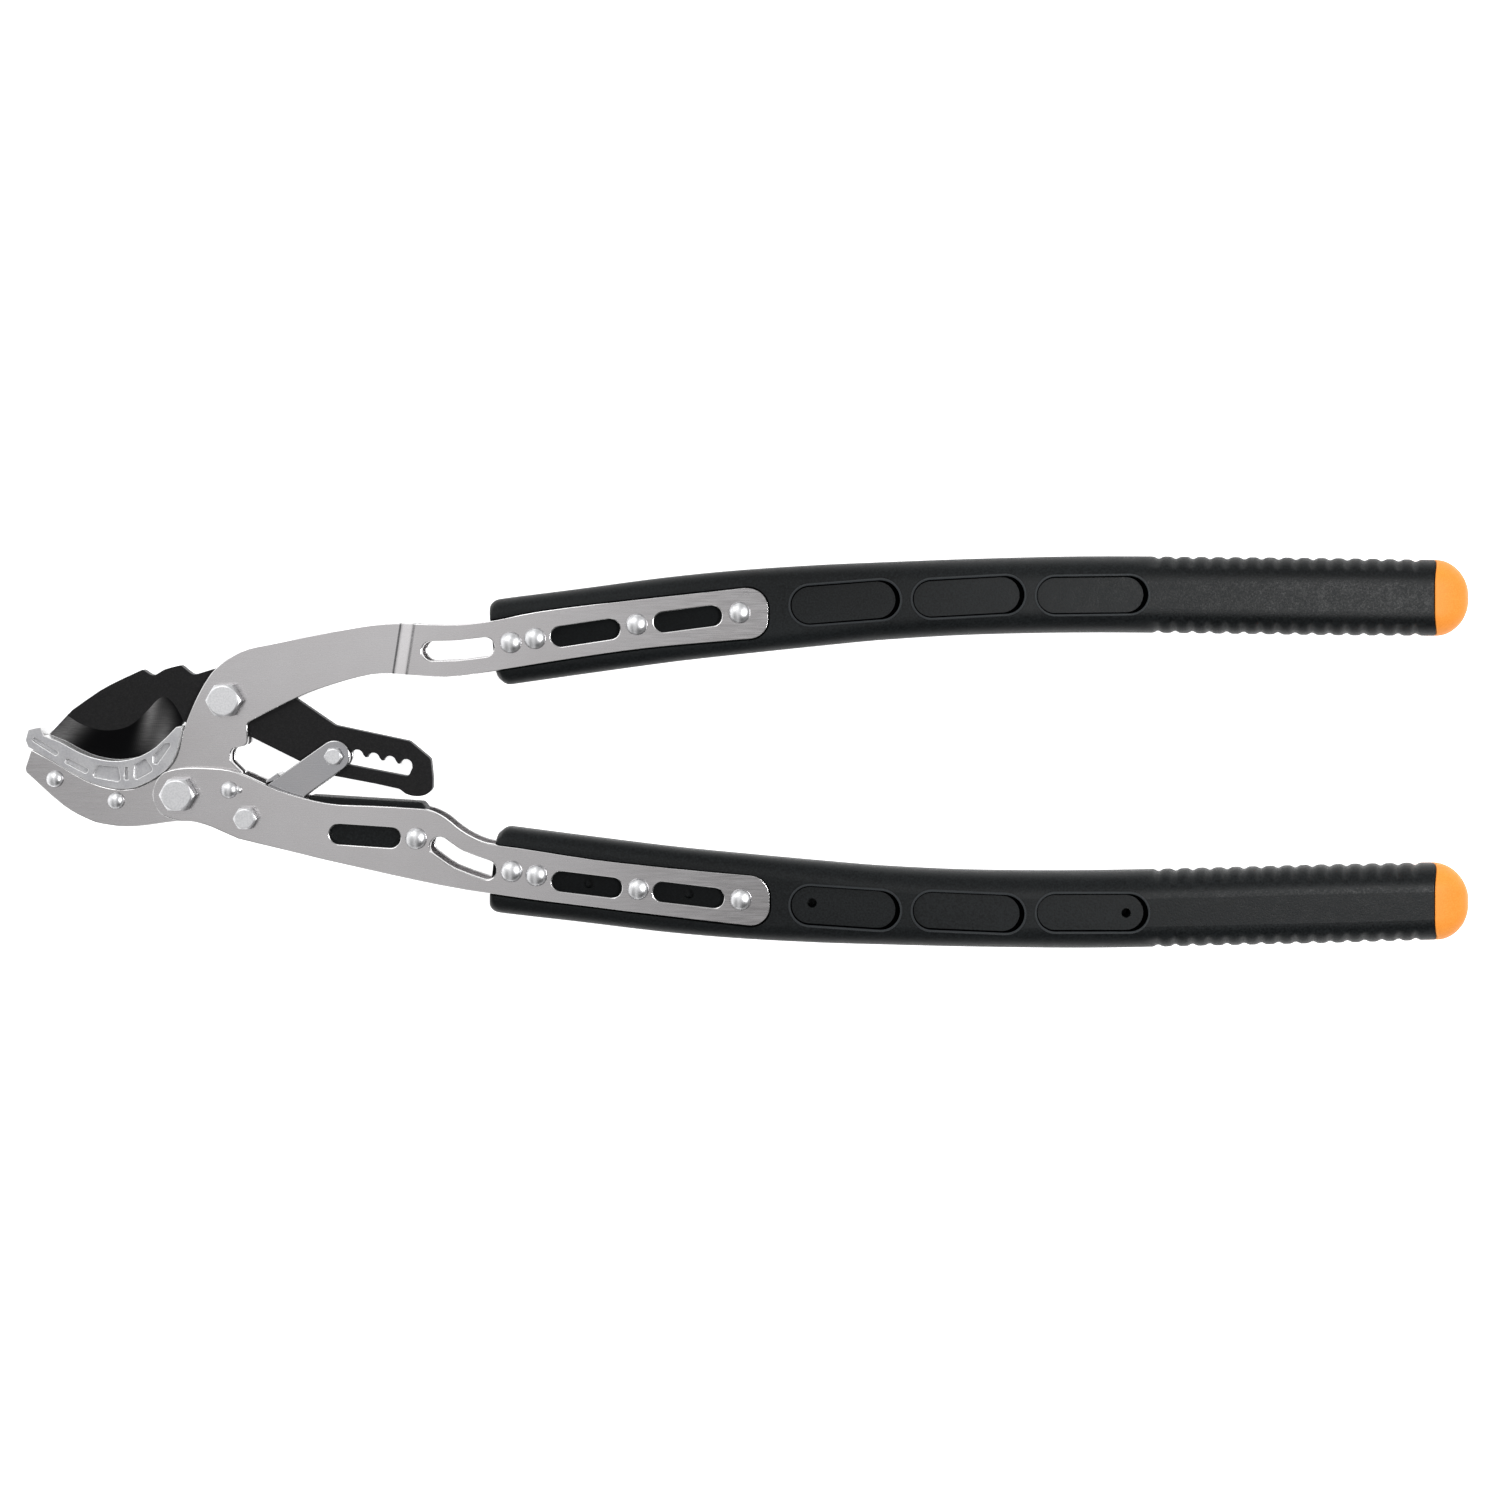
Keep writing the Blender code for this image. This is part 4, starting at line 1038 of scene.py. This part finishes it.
walls = sheet_mesh([anvil_outline()] + [trace(p) for p in POCKETS_CAST],
                   -ANVIL_HALF, ANVIL_HALF, ANVIL_EDGE, "anvil")
core = [flat_sheet([offset(trace(p), CORE_LAP)], -POCKET_FLOOR, POCKET_FLOOR, SHARP, 0)
        for p in POCKETS_CAST]
tang = flat_sheet([trace(TANG)] + small_holes(JAW_RIVETS, JAW_SHANK),
                  -BLADE_HALF, BLADE_HALF, TANG_EDGE)
anvil = combine(walls, gather(core), "UNION")
anvil = combine(anvil, as_mesh(tang, "tang"), "UNION")
place("anvil", anvil, CAST, "frame", "cast_aluminium")

# %% [markdown]
# ## Fasteners turned on a lathe
# A bolt head starts as a turned bar: a profile spun round the axis, with a chamfer on top.
# Then six flats are milled off it. Where a flat meets the chamfer the cut makes the curved
# edge that every real hexagon head has, so nothing has to be drawn for it. Rivets are spun
# too, from a domed profile.

# %% Lathe and mill


HEX_TURN = 30                # every hexagon points a corner along the tool
HEX_SIDES = 6


def turned(profile, closed=False, steps=72):
    """Spins a profile of (radius, height) points round the vertical axis."""
    bm = bmesh.new()
    verts = [bm.verts.new((r * MM, 0, z * MM)) for r, z in profile]
    pairs = list(zip(verts, verts[1:])) + ([(verts[-1], verts[0])] if closed else [])
    edges = [bm.edges.new(pair) for pair in pairs]
    bmesh.ops.spin(bm, geom=verts + edges, angle=math.tau, steps=steps, use_merge=True,
                   axis=(0, 0, 1), cent=(0, 0, 0))
    bmesh.ops.remove_doubles(bm, verts=bm.verts, dist=0.0008 * MM)
    return face_out(bm)


def mill_flats(bm, flats):
    """Cuts six flats off a turned bar."""
    for k in range(HEX_SIDES):
        a = math.radians(HEX_TURN + 60 * k)
        facing = Vector((math.cos(a), math.sin(a), 0))
        geom = bm.verts[:] + bm.edges[:] + bm.faces[:]
        cut = bmesh.ops.bisect_plane(bm, geom=geom, plane_co=facing * flats / 2 * MM,
                                     plane_no=facing, clear_outer=True)
        rim = [g for g in cut["geom_cut"] if isinstance(g, bmesh.types.BMEdge)]
        bmesh.ops.contextual_create(bm, geom=rim)
    face_out(bm)


def hexagon(flats):
    """Radius of the bar and of the chamfer's top, and how far the chamfer drops."""
    bar = flats / 2 / math.cos(math.radians(30)) + 0.05
    crown = flats / 2 * 0.96
    return bar, crown, (bar - crown) * 0.62


def head_profile(shank, flats, seat, head, tip):
    """Half outline of a bolt, from the middle of its head down to its tip."""
    bar, crown, drop = hexagon(flats)
    top = seat + head
    return ((0.0, top), (crown - 0.45, top), (crown - 0.12, top - 0.10), (crown, top - 0.24),
            (bar, top - 0.24 - drop), (bar, seat + 0.25), (bar - 0.4, seat), (shank, seat),
            (shank, tip + 0.6), (shank * 0.86, tip), (0.0, tip))


def nut_profile(shank, flats, low, high):
    bar, crown, drop = hexagon(flats)
    bore = shank + GAP
    low += 0.002
    return ((bore + 0.5, low), (crown - 0.3, low), (crown, low + 0.2), (bar, low + 0.2 + drop),
            (bar, high - 0.2), (bar - 0.4, high), (bore, high), (bore, low + 0.5))


def quarter_turn(steps):
    return [math.pi / 2 * k / steps for k in range(steps + 1)]


def rivet_profile(shank, head, seat, height):
    """Half outline of a rivet with a dome at both ends."""
    dome = [(head * math.sin(a), seat + height * (math.cos(a) * 0.94 + 0.06))
            for a in quarter_turn(10)]
    upper = dome + [(head - 0.12, seat), (shank, seat)]
    return upper + [(r, -z) for r, z in upper[::-1]]


def fastener(node, profile, at, body, flats=0, closed=False, nub=None):
    """One turned piece; a nub is a second small profile with its distance to the right."""
    bm = turned(profile, closed)
    if flats:
        mill_flats(bm, flats)
    bmesh.ops.translate(bm, verts=bm.verts, vec=(at[0] * MM, at[1] * MM, 0))
    mesh = as_mesh(bm, node)
    if nub:
        beside = turned(nub[0])
        bmesh.ops.translate(beside, verts=beside.verts,
                            vec=((at[0] + nub[1]) * MM, at[1] * MM, 0))
        mesh = combine(mesh, as_mesh(beside, "nub"), "UNION")
    place(node, mesh, ZINC, body, "bright_zinc", angle=24)


# %% Bolts and nuts
FRAME_SEAT = FRAME_OUT + GAP
PLATE_SEAT = PLATE_OUT + GAP
LINK_SEAT = LINK_OUT + GAP
# Each size gives its shank, the width across its flats, the heights of its head and nut, and
# how far the tip stays inside the nut.
BIG = (BIG_SHANK, 15.0, 5.6, 4.6, 0.4)
SMALL = (SMALL_SHANK, 10.0, 4.0, 4.0, 0.4)
PIN = (PIN_SHANK, 8.0, 2.5, 2.5, 0.2)
BOLTS = (
    ("blade_pivot_bolt", "blade_pivot_nut", BLADE_PIN, "frame", FRAME_SEAT, BIG),
    ("handle_pivot_bolt", "handle_pivot_nut", HANDLE_PIN, "lower_arm", PLATE_SEAT, BIG),
    ("link_bolt", "link_nut", LINK_PIN, "lower_arm", PLATE_SEAT, SMALL),
    ("ratchet_pin", "ratchet_pin_nut", RATCHET_PIN, "link", LINK_SEAT, PIN),
)
for bolt, nut, at, body, seat, (shank, flats, head, nut_height, tip_in) in BOLTS:
    profile = head_profile(shank, flats, seat, head, -seat - nut_height + tip_in)
    fastener(bolt, profile, at, body, flats)
    profile = nut_profile(shank, flats, -seat - nut_height, -seat)
    fastener(nut, profile, at, body, flats, closed=True)

# %% Rivets
JAW_HEAD = 4.1
JAW_DOME = 2.6
STRAP_HEAD = 5.2
STRAP_DOME = 3.0
STOP_DOME = 2.4
NUB_FOOT = PLATE_OUT + 0.05
NUB_RADIUS = 1.9
NUB_DOME = 1.3
NUB_BESIDE = 4.4
for word, at in zip(("tip", "heel"), JAW_RIVETS):
    profile = rivet_profile(JAW_SHANK, JAW_HEAD, FRAME_SEAT, JAW_DOME)
    fastener("anvil_rivet_" + word, profile, at, "frame")
strap_profile = rivet_profile(RIVET_SHANK, STRAP_HEAD, PLATE_SEAT, STRAP_DOME)
for lower, word, body in HALVES:
    for number, at in enumerate(LOWER_RIVETS if lower else UPPER_RIVETS, 1):
        fastener(word + "_strap_rivet_" + str(number), strap_profile, at, body)
fastener("spacer_rivet", strap_profile, SPACER_RIVET, "lower_arm")
stop_nub = [(NUB_RADIUS * math.sin(a), NUB_FOOT + NUB_DOME * math.cos(a))
            for a in quarter_turn(8)]
stop_nub.append((0.0, NUB_FOOT))
fastener("stop_pin", rivet_profile(JAW_SHANK, JAW_HEAD, PLATE_SEAT, STOP_DOME), STOP_PIN,
         "lower_arm", nub=(stop_nub, NUB_BESIDE))

# %% [markdown]
# ## The ratchet link
# The link is a strip of sheet folded into a U: two ears, one each side of the blade, and a
# short web that joins them along one side. It carries the pin that steps from notch to notch.

# %% Link
EAR_HALF = 7.6
LINK_EDGE = 0.4
LINK_WAY = (RATCHET_PIN - LINK_PIN).normalized()
LINK_SIDE = Vector((-LINK_WAY.y, LINK_WAY.x))


def on_link(along, sideways, radius):
    return (*(LINK_PIN + LINK_WAY * along + LINK_SIDE * sideways), radius)


ear_loops = [slot((LINK_PIN, RATCHET_PIN), EAR_HALF, 24), hole(LINK_PIN, SMALL_SHANK, 32),
             hole(RATCHET_PIN, PIN_SHANK, 32)]
ears = [paint_rim(flat_sheet(ear_loops, low, high, LINK_EDGE))
        for low, high in ((FRAME_IN, LINK_OUT), (-LINK_OUT, -FRAME_IN))]
web = (on_link(16.0, 7.0, 0.3), on_link(24.5, 7.0, 0.3), on_link(23.5, 9.6, 0.8),
       on_link(16.8, 9.6, 0.8))
fold = sheet_mesh([trace(web)], -LINK_OUT, LINK_OUT, LINK_EDGE, "web")
link = combine(gather(ears), fold, "UNION")
place("ratchet_link", link, LINK_STEEL, "link", "brushed_steel")

# %% Spring
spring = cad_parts["pawl_spring"]
spring.data.materials.clear()
spring.data.materials.append(SPRING)
print("the spring keeps its own shape and gets drawn steel wire")

# %% [markdown]
# ## The handles
# Each handle is a long nylon moulding with a rounded-box section that grows rounder towards
# the grip. The skin is a grid rolled round the handle's middle line. Along the grip its top
# and bottom edges are pressed in with slanted finger ridges, which fade out on the face.

# %% Handle stations
STATIONS = (
    (129.9, 27.4, 42.3, 10.0, 8.0),
    (140.0, 28.9, 42.3, 10.0, 8.0),
    (172.0, 33.2, 41.8, 10.0, 8.0),
    (216.0, 39.1, 41.6, 10.0, 8.0),
    (250.0, 42.7, 41.2, 10.4, 8.4),
    (290.0, 46.1, 39.7, 11.4, 9.6),
    (319.0, 48.1, 38.2, 12.2, 10.4),
    (363.0, 50.2, 37.3, 13.0, 11.4),
    (420.0, 51.4, 37.5, 13.6, 12.0),
    (480.0, 51.0, 37.7, 13.6, 12.0),
    (540.0, 50.3, 38.0, 13.6, 12.0),
    (589.7, 49.7, 37.4, 13.6, 12.0),
)
FRONT = STATIONS[0][0]
SEAM = STATIONS[-1][0]
SHRINK = 0.06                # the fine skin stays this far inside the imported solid
SINK = 0.5                   # its faces sink a little more, so that the beads have room
NOSE_SIDE = 6.0              # how far the nose rounds in at its sides, and over its faces
NOSE_FACE = 3.0
SEAM_BOW = 4.6
BOW_REACH = 15.0
RIDGE_FROM = 455.4
RIDGE_PITCH = 8.39
RIDGES = 16
RIDGE_DEPTH = 1.15
RIDGE_SLANT = 0.34
RIDGE_START = 0.60           # the ridges fade in from this share of the half width
RIDGE_FADE = 0.24
RIDGE_POINT = 2.4            # a greater power makes the grooves narrower
MIRROR_LINE = (157.0, -27.3, 0.0064)


def between(x, column):
    """Smooth value of one station column at a distance along the handle."""
    last = len(STATIONS) - 2
    i = min(last, max([k for k in range(last + 1) if STATIONS[k][0] <= x] + [0]))
    a, b = STATIONS[i], STATIONS[i + 1]
    before, after = STATIONS[max(0, i - 1)], STATIONS[min(last + 1, i + 2)]
    span = b[0] - a[0]
    t = (x - a[0]) / span
    u = (b[column] - before[column]) / (b[0] - before[0]) * span
    v = (after[column] - a[column]) / (after[0] - a[0]) * span
    return glide(a[column], b[column], u, v, t)


def ridge(x, z, share):
    """How far the surface is pressed in; share is 1 at the handle's very edge."""
    phase = (x - RIDGE_FROM + RIDGE_SLANT * z) / RIDGE_PITCH
    if not -0.5 < phase < RIDGES - 0.5:
        return 0.0
    fade = min(1.0, max(0.0, (share - RIDGE_START) / RIDGE_FADE))
    groove = (0.5 + 0.5 * math.cos(math.tau * phase)) ** RIDGE_POINT
    return RIDGE_DEPTH * groove * fade * fade * (3 - 2 * fade)


def mirrored(x, y):
    """The matching place on the other handle."""
    line = MIRROR_LINE[1] + MIRROR_LINE[2] * (x - MIRROR_LINE[0])
    return x, 2 * line - y


QUARTER = 12
AROUND = 4 * (QUARTER + 4)


def box_section(t, width, depth, radius):
    """Place number t round a rounded box: sideways and up from the middle."""
    quarter, k = divmod(t, QUARTER + 4)
    sv, sz = ((1, 1), (-1, 1), (-1, -1), (1, -1))[quarter]
    half_w = width / 2 - radius
    half_d = max(0.0, depth - radius)
    if k <= QUARTER:
        a = math.radians(90 * quarter + 90 * k / QUARTER)
        return sv * half_w + radius * math.cos(a), sz * half_d + radius * math.sin(a)
    share = (k - QUARTER) / 4
    if quarter % 2 == 0:
        return sv * half_w * (1 - 2 * share), sz * (half_d + radius)
    return sv * (half_w + radius), sz * half_d * (1 - 2 * share)


def bow(x, z):
    """The seam with the end cap bows back over the faces; the bow dies out either side."""
    near = max(0.0, 1.0 - abs(x - SEAM) / BOW_REACH)
    return SEAM_BOW * (z / STATIONS[-1][3]) ** 2 * near * near * (3 - 2 * near)


def nose(x, reach):
    """How far the handle's front end rounds in, for a rounding of this reach."""
    gone = max(0.0, 1 - (x - FRONT) / reach)
    return reach * (1 - math.sqrt(1 - gone * gone))


def handle_point(x, t, lower, slope):
    middle_y, width, depth, radius = (between(x, column) for column in (1, 2, 3, 4))
    width -= 2 * nose(x, NOSE_SIDE)
    depth -= nose(x, NOSE_FACE)
    v, z = box_section(t, width - 2 * SHRINK, depth - SINK, min(radius, depth - SINK))
    share = abs(v) / (width / 2)
    pressed = ridge(x, z, share)
    v -= math.copysign(pressed, v)
    px = x - v * math.sin(slope) - bow(x, z)
    py = middle_y + v * math.cos(slope)
    if lower:
        px, py = mirrored(px, py)
    return px, py, z


def handle_stations():
    """Distances along the handle: close together at the nose and along the ridges."""
    front = [FRONT + NOSE_SIDE * (1 - math.cos(a)) for a in quarter_turn(14)] + [138.0]
    shaft = [140.5 + 4.5 * k for k in range(69)]
    grip = [451.2 + RIDGE_PITCH * k / 10 for k in range(RIDGES * 10 + 3)]
    return front + shaft + grip + [587.5, 589.0, 589.5, SEAM]


LEVEL_FROM = 585
LEVEL_EASE = 20


def slope_at(x):
    """Slant of the middle line, eased to nothing before the end cap."""
    if x > LEVEL_FROM:
        return 0.0
    ease = min(1.0, (LEVEL_FROM - x) / LEVEL_EASE)
    return math.atan((between(x + 3, 1) - between(max(x, 131.0) - 1, 1)) / 4) * ease


print("stations along a handle:", len(handle_stations()))

# %% [markdown]
# ## Seats and pockets
# The straps lie in seats sunk into both faces, and each grip face has three shallow pockets
# with a thin raised bead round them. The seats and pockets are cut with solids of their
# shape, whose edges are rounded so that the pocket floors meet their walls in a fillet. The
# cutters leave painted shade in the seats and pockets, and the beads carry a painted highlight.

# %% Handle cutters
POCKETS = (
    (274.2, 328.3, 46.2, 48.8, 10.0, 9.8),
    (333.3, 388.3, 49.3, 51.2, 9.7, 11.1),
    (393.1, 448.0, 50.9, 51.3, 9.6, 12.0),
)
# Each cut gives its inset, how much shorter it is at the right, how high its floor lies over
# the pocket's, its rounding, and the steepest face that still gets the painted recess shade.
POCKET_CUTS = ((0.0, 0.0, 0.5, 0.4, 1.1), (0.35, 1.5, -0.5, 0.8, 0.99))
SCREW_HOLES = ((176.7, -89.4), (225.5, -94.5), (285.3, -98.2), (437.1, -102.6))
SCREW_RADIUS = 2.3
SCREW_FLOOR = 2.0
TALL = 16.0                  # higher than any handle face
SEAT_FROM = 112
SEAT_ROOM = 0.45
SEAT_EDGE = 0.2
# How strong the painted shade on the strap seats is.
SEAT_SHADE = 0.4
CAP_START = 590.0
SOCKET_END = 595.0
SPIGOT_START = 579.0
SPIGOT_SHARE = 0.60


def pocket_line(pocket, lower, inset=0.0, shorter=0.0):
    """Outline of a pocket; inset narrows it all round and shorter trims its right end."""
    x0, x1, y0, y1, half, floor_height = pocket
    a, b = (x0 + half, y0), (x1 - half - shorter, y1)
    if lower:
        a, b = mirrored(*a), mirrored(*b)
    return slot((a, b), half - inset, 24), floor_height


def right_of(points, x):
    """The part of an outline to the right of a line across the drawing."""
    kept = []
    for a, b in zip(points, points[1:] + points[:1]):
        if a.x > x:
            kept.append(a)
        if (a.x > x) != (b.x > x):
            kept.append(a.lerp(b, (x - a.x) / (b.x - a.x)))
    return kept


def seat_line(lower):
    band = right_of(trace(LOWER) if lower else trace(FRAME), SEAT_FROM)
    turning = sum(a.cross(b) for a, b in zip(band, band[1:] + band[:1]))
    return offset(band, -SEAT_ROOM if turning > 0 else SEAT_ROOM)


def cap_section(x, t, share, lower):
    last = STATIONS[-1]
    v, z = box_section(t, (last[2] - 2 * SHRINK) * share, (last[3] - SINK) * share,
                       last[4] * share)
    at = (x - (bow(x, z) if share > SPIGOT_SHARE + 0.1 else 0.0), last[1] + v)
    return (*(mirrored(*at) if lower else at), z)


def handle_mesh(lower):
    stations = handle_stations()
    slopes = [slope_at(x) for x in stations]
    skin = rolled_grid(len(stations) - 1, AROUND,
                       lambda s, t: handle_point(stations[s], t, lower, slopes[s]))
    mesh = as_mesh(mark(mark(skin, "painted_recess_shade", NO_FACE), "bead", NO_FACE), "handle")
    seats = [flat_sheet([seat_line(lower)], low, high, SEAT_EDGE, 1)
             for low, high in ((FRAME_OUT, TALL), (-TALL, -FRAME_OUT))]
    # The seat cutters leave painted shade on every face they cut.
    cutters = [mark(seat, "painted_recess_shade", ANY_FACE, SEAT_SHADE) for seat in seats]
    mesh = combine(mesh, gather(cutters), "DIFFERENCE")
    for inset, shorter, lift, reach, steepest in POCKET_CUTS:
        cutters = []
        for pocket in POCKETS:
            line, floor = pocket_line(pocket, lower, inset, shorter)
            for bottom, top in ((floor + lift, TALL), (-TALL, -floor - lift)):
                cutter = flat_sheet([line], bottom, top, reach, 3)
                # Pocket cutters leave painted shade on the faces they cut, up to the given
                # steepness.
                cutters.append(mark(cutter, "painted_recess_shade", steepest))
        mesh = combine(mesh, gather(cutters), "DIFFERENCE")
    bores = small_holes(LOWER_RIVETS if lower else UPPER_RIVETS, RIVET_SHANK)
    cutters = [flat_sheet([bore], -TALL, TALL, 0.1, 0) for bore in bores]
    for at in SCREW_HOLES if lower else ():
        screw_hole = circle(at, SCREW_RADIUS, 24)
        cutters.append(flat_sheet([screw_hole], SCREW_FLOOR, TALL, 0.1, 0))
    grow = SPIGOT_SHARE + 2 * GAP / STATIONS[-1][3]
    ends = (SPIGOT_START - GAP, SOCKET_END)
    cutters.append(rolled_grid(1, AROUND, lambda s, t: cap_section(ends[s], t, grow, lower)))
    return combine(mesh, gather(cutters), "DIFFERENCE")


# %% Beads round the pockets
BEAD_RADIUS = 0.55
BEAD_SUNK = 0.12             # the bead's middle lies this far under the face
BEAD_POINTS = 120


def bead(points):
    """Closed round bead along points in the drawing."""
    curve = bpy.data.curves.new("bead", "CURVE")
    curve.dimensions = "3D"
    curve.bevel_depth = BEAD_RADIUS * MM
    curve.bevel_resolution = 3
    add_loop(curve, points)
    return face_out(from_curve(curve, 0.001))


def face_height(x, y, lower):
    """Height of the handle's flat face above the middle plane, at a place on it."""
    if lower:
        x, y = mirrored(x, y)
    v = abs(y - between(x, 1))
    width, depth, radius = (between(x, column) for column in (2, 3, 4))
    past = max(0.0, v - (width / 2 - radius))
    return depth - SINK - radius + math.sqrt(max(0.0, radius * radius - past * past))


def pocket_beads(lower):
    beads = []
    for pocket in POCKETS:
        line, _ = pocket_line(pocket, lower)
        dense = resample(line + [line[0]], BEAD_POINTS + 1)[:-1]
        for side in (1, -1):
            ring = bead([(p.x, p.y, side * (face_height(p.x, p.y, lower) - BEAD_SUNK))
                         for p in dense])
            # Every face of the bead carries the mask for its painted highlight.
            beads.append(mark(ring, "bead", ANY_FACE))
    return gather(beads)


# %% Handles
for lower, word, body in HALVES:
    grip = combine(handle_mesh(lower), pocket_beads(lower), "UNION")
    place(word + "_handle", grip, BLACK, body, "black_nylon", angle=32)

# %% [markdown]
# ## The end caps
# An orange cap closes each handle: a spigot that plugs into the tube, and a dome that carries
# on the handle's section and rounds it off. The dome's sections shrink along an ellipse.

# %% End caps
CAP_TIP = 606.5
CAP_ROUNDS = 26
CAP_FULLNESS = 1.1


def cap_mesh(lower):
    profile = [(SPIGOT_START, SPIGOT_SHARE - 0.02), (SPIGOT_START + 0.6, SPIGOT_SHARE),
               (CAP_START, SPIGOT_SHARE), (CAP_START, 0.965), (CAP_START + 0.12, 0.985),
               (CAP_START + 0.4, 0.997)]
    start = CAP_START + 0.9
    for a in quarter_turn(CAP_ROUNDS):
        x = start + (CAP_TIP - start) * math.sin(a)
        profile.append((x, max(0.004, max(0.0, math.cos(a)) ** CAP_FULLNESS)))
    bm = rolled_grid(len(profile) - 1, AROUND,
                     lambda s, t: cap_section(profile[s][0], t, profile[s][1], lower))
    return as_mesh(bm, "cap")


for lower, word, body in HALVES:
    place(word + "_end_cap", cap_mesh(lower), ORANGE, body, "orange_plastic", angle=40)
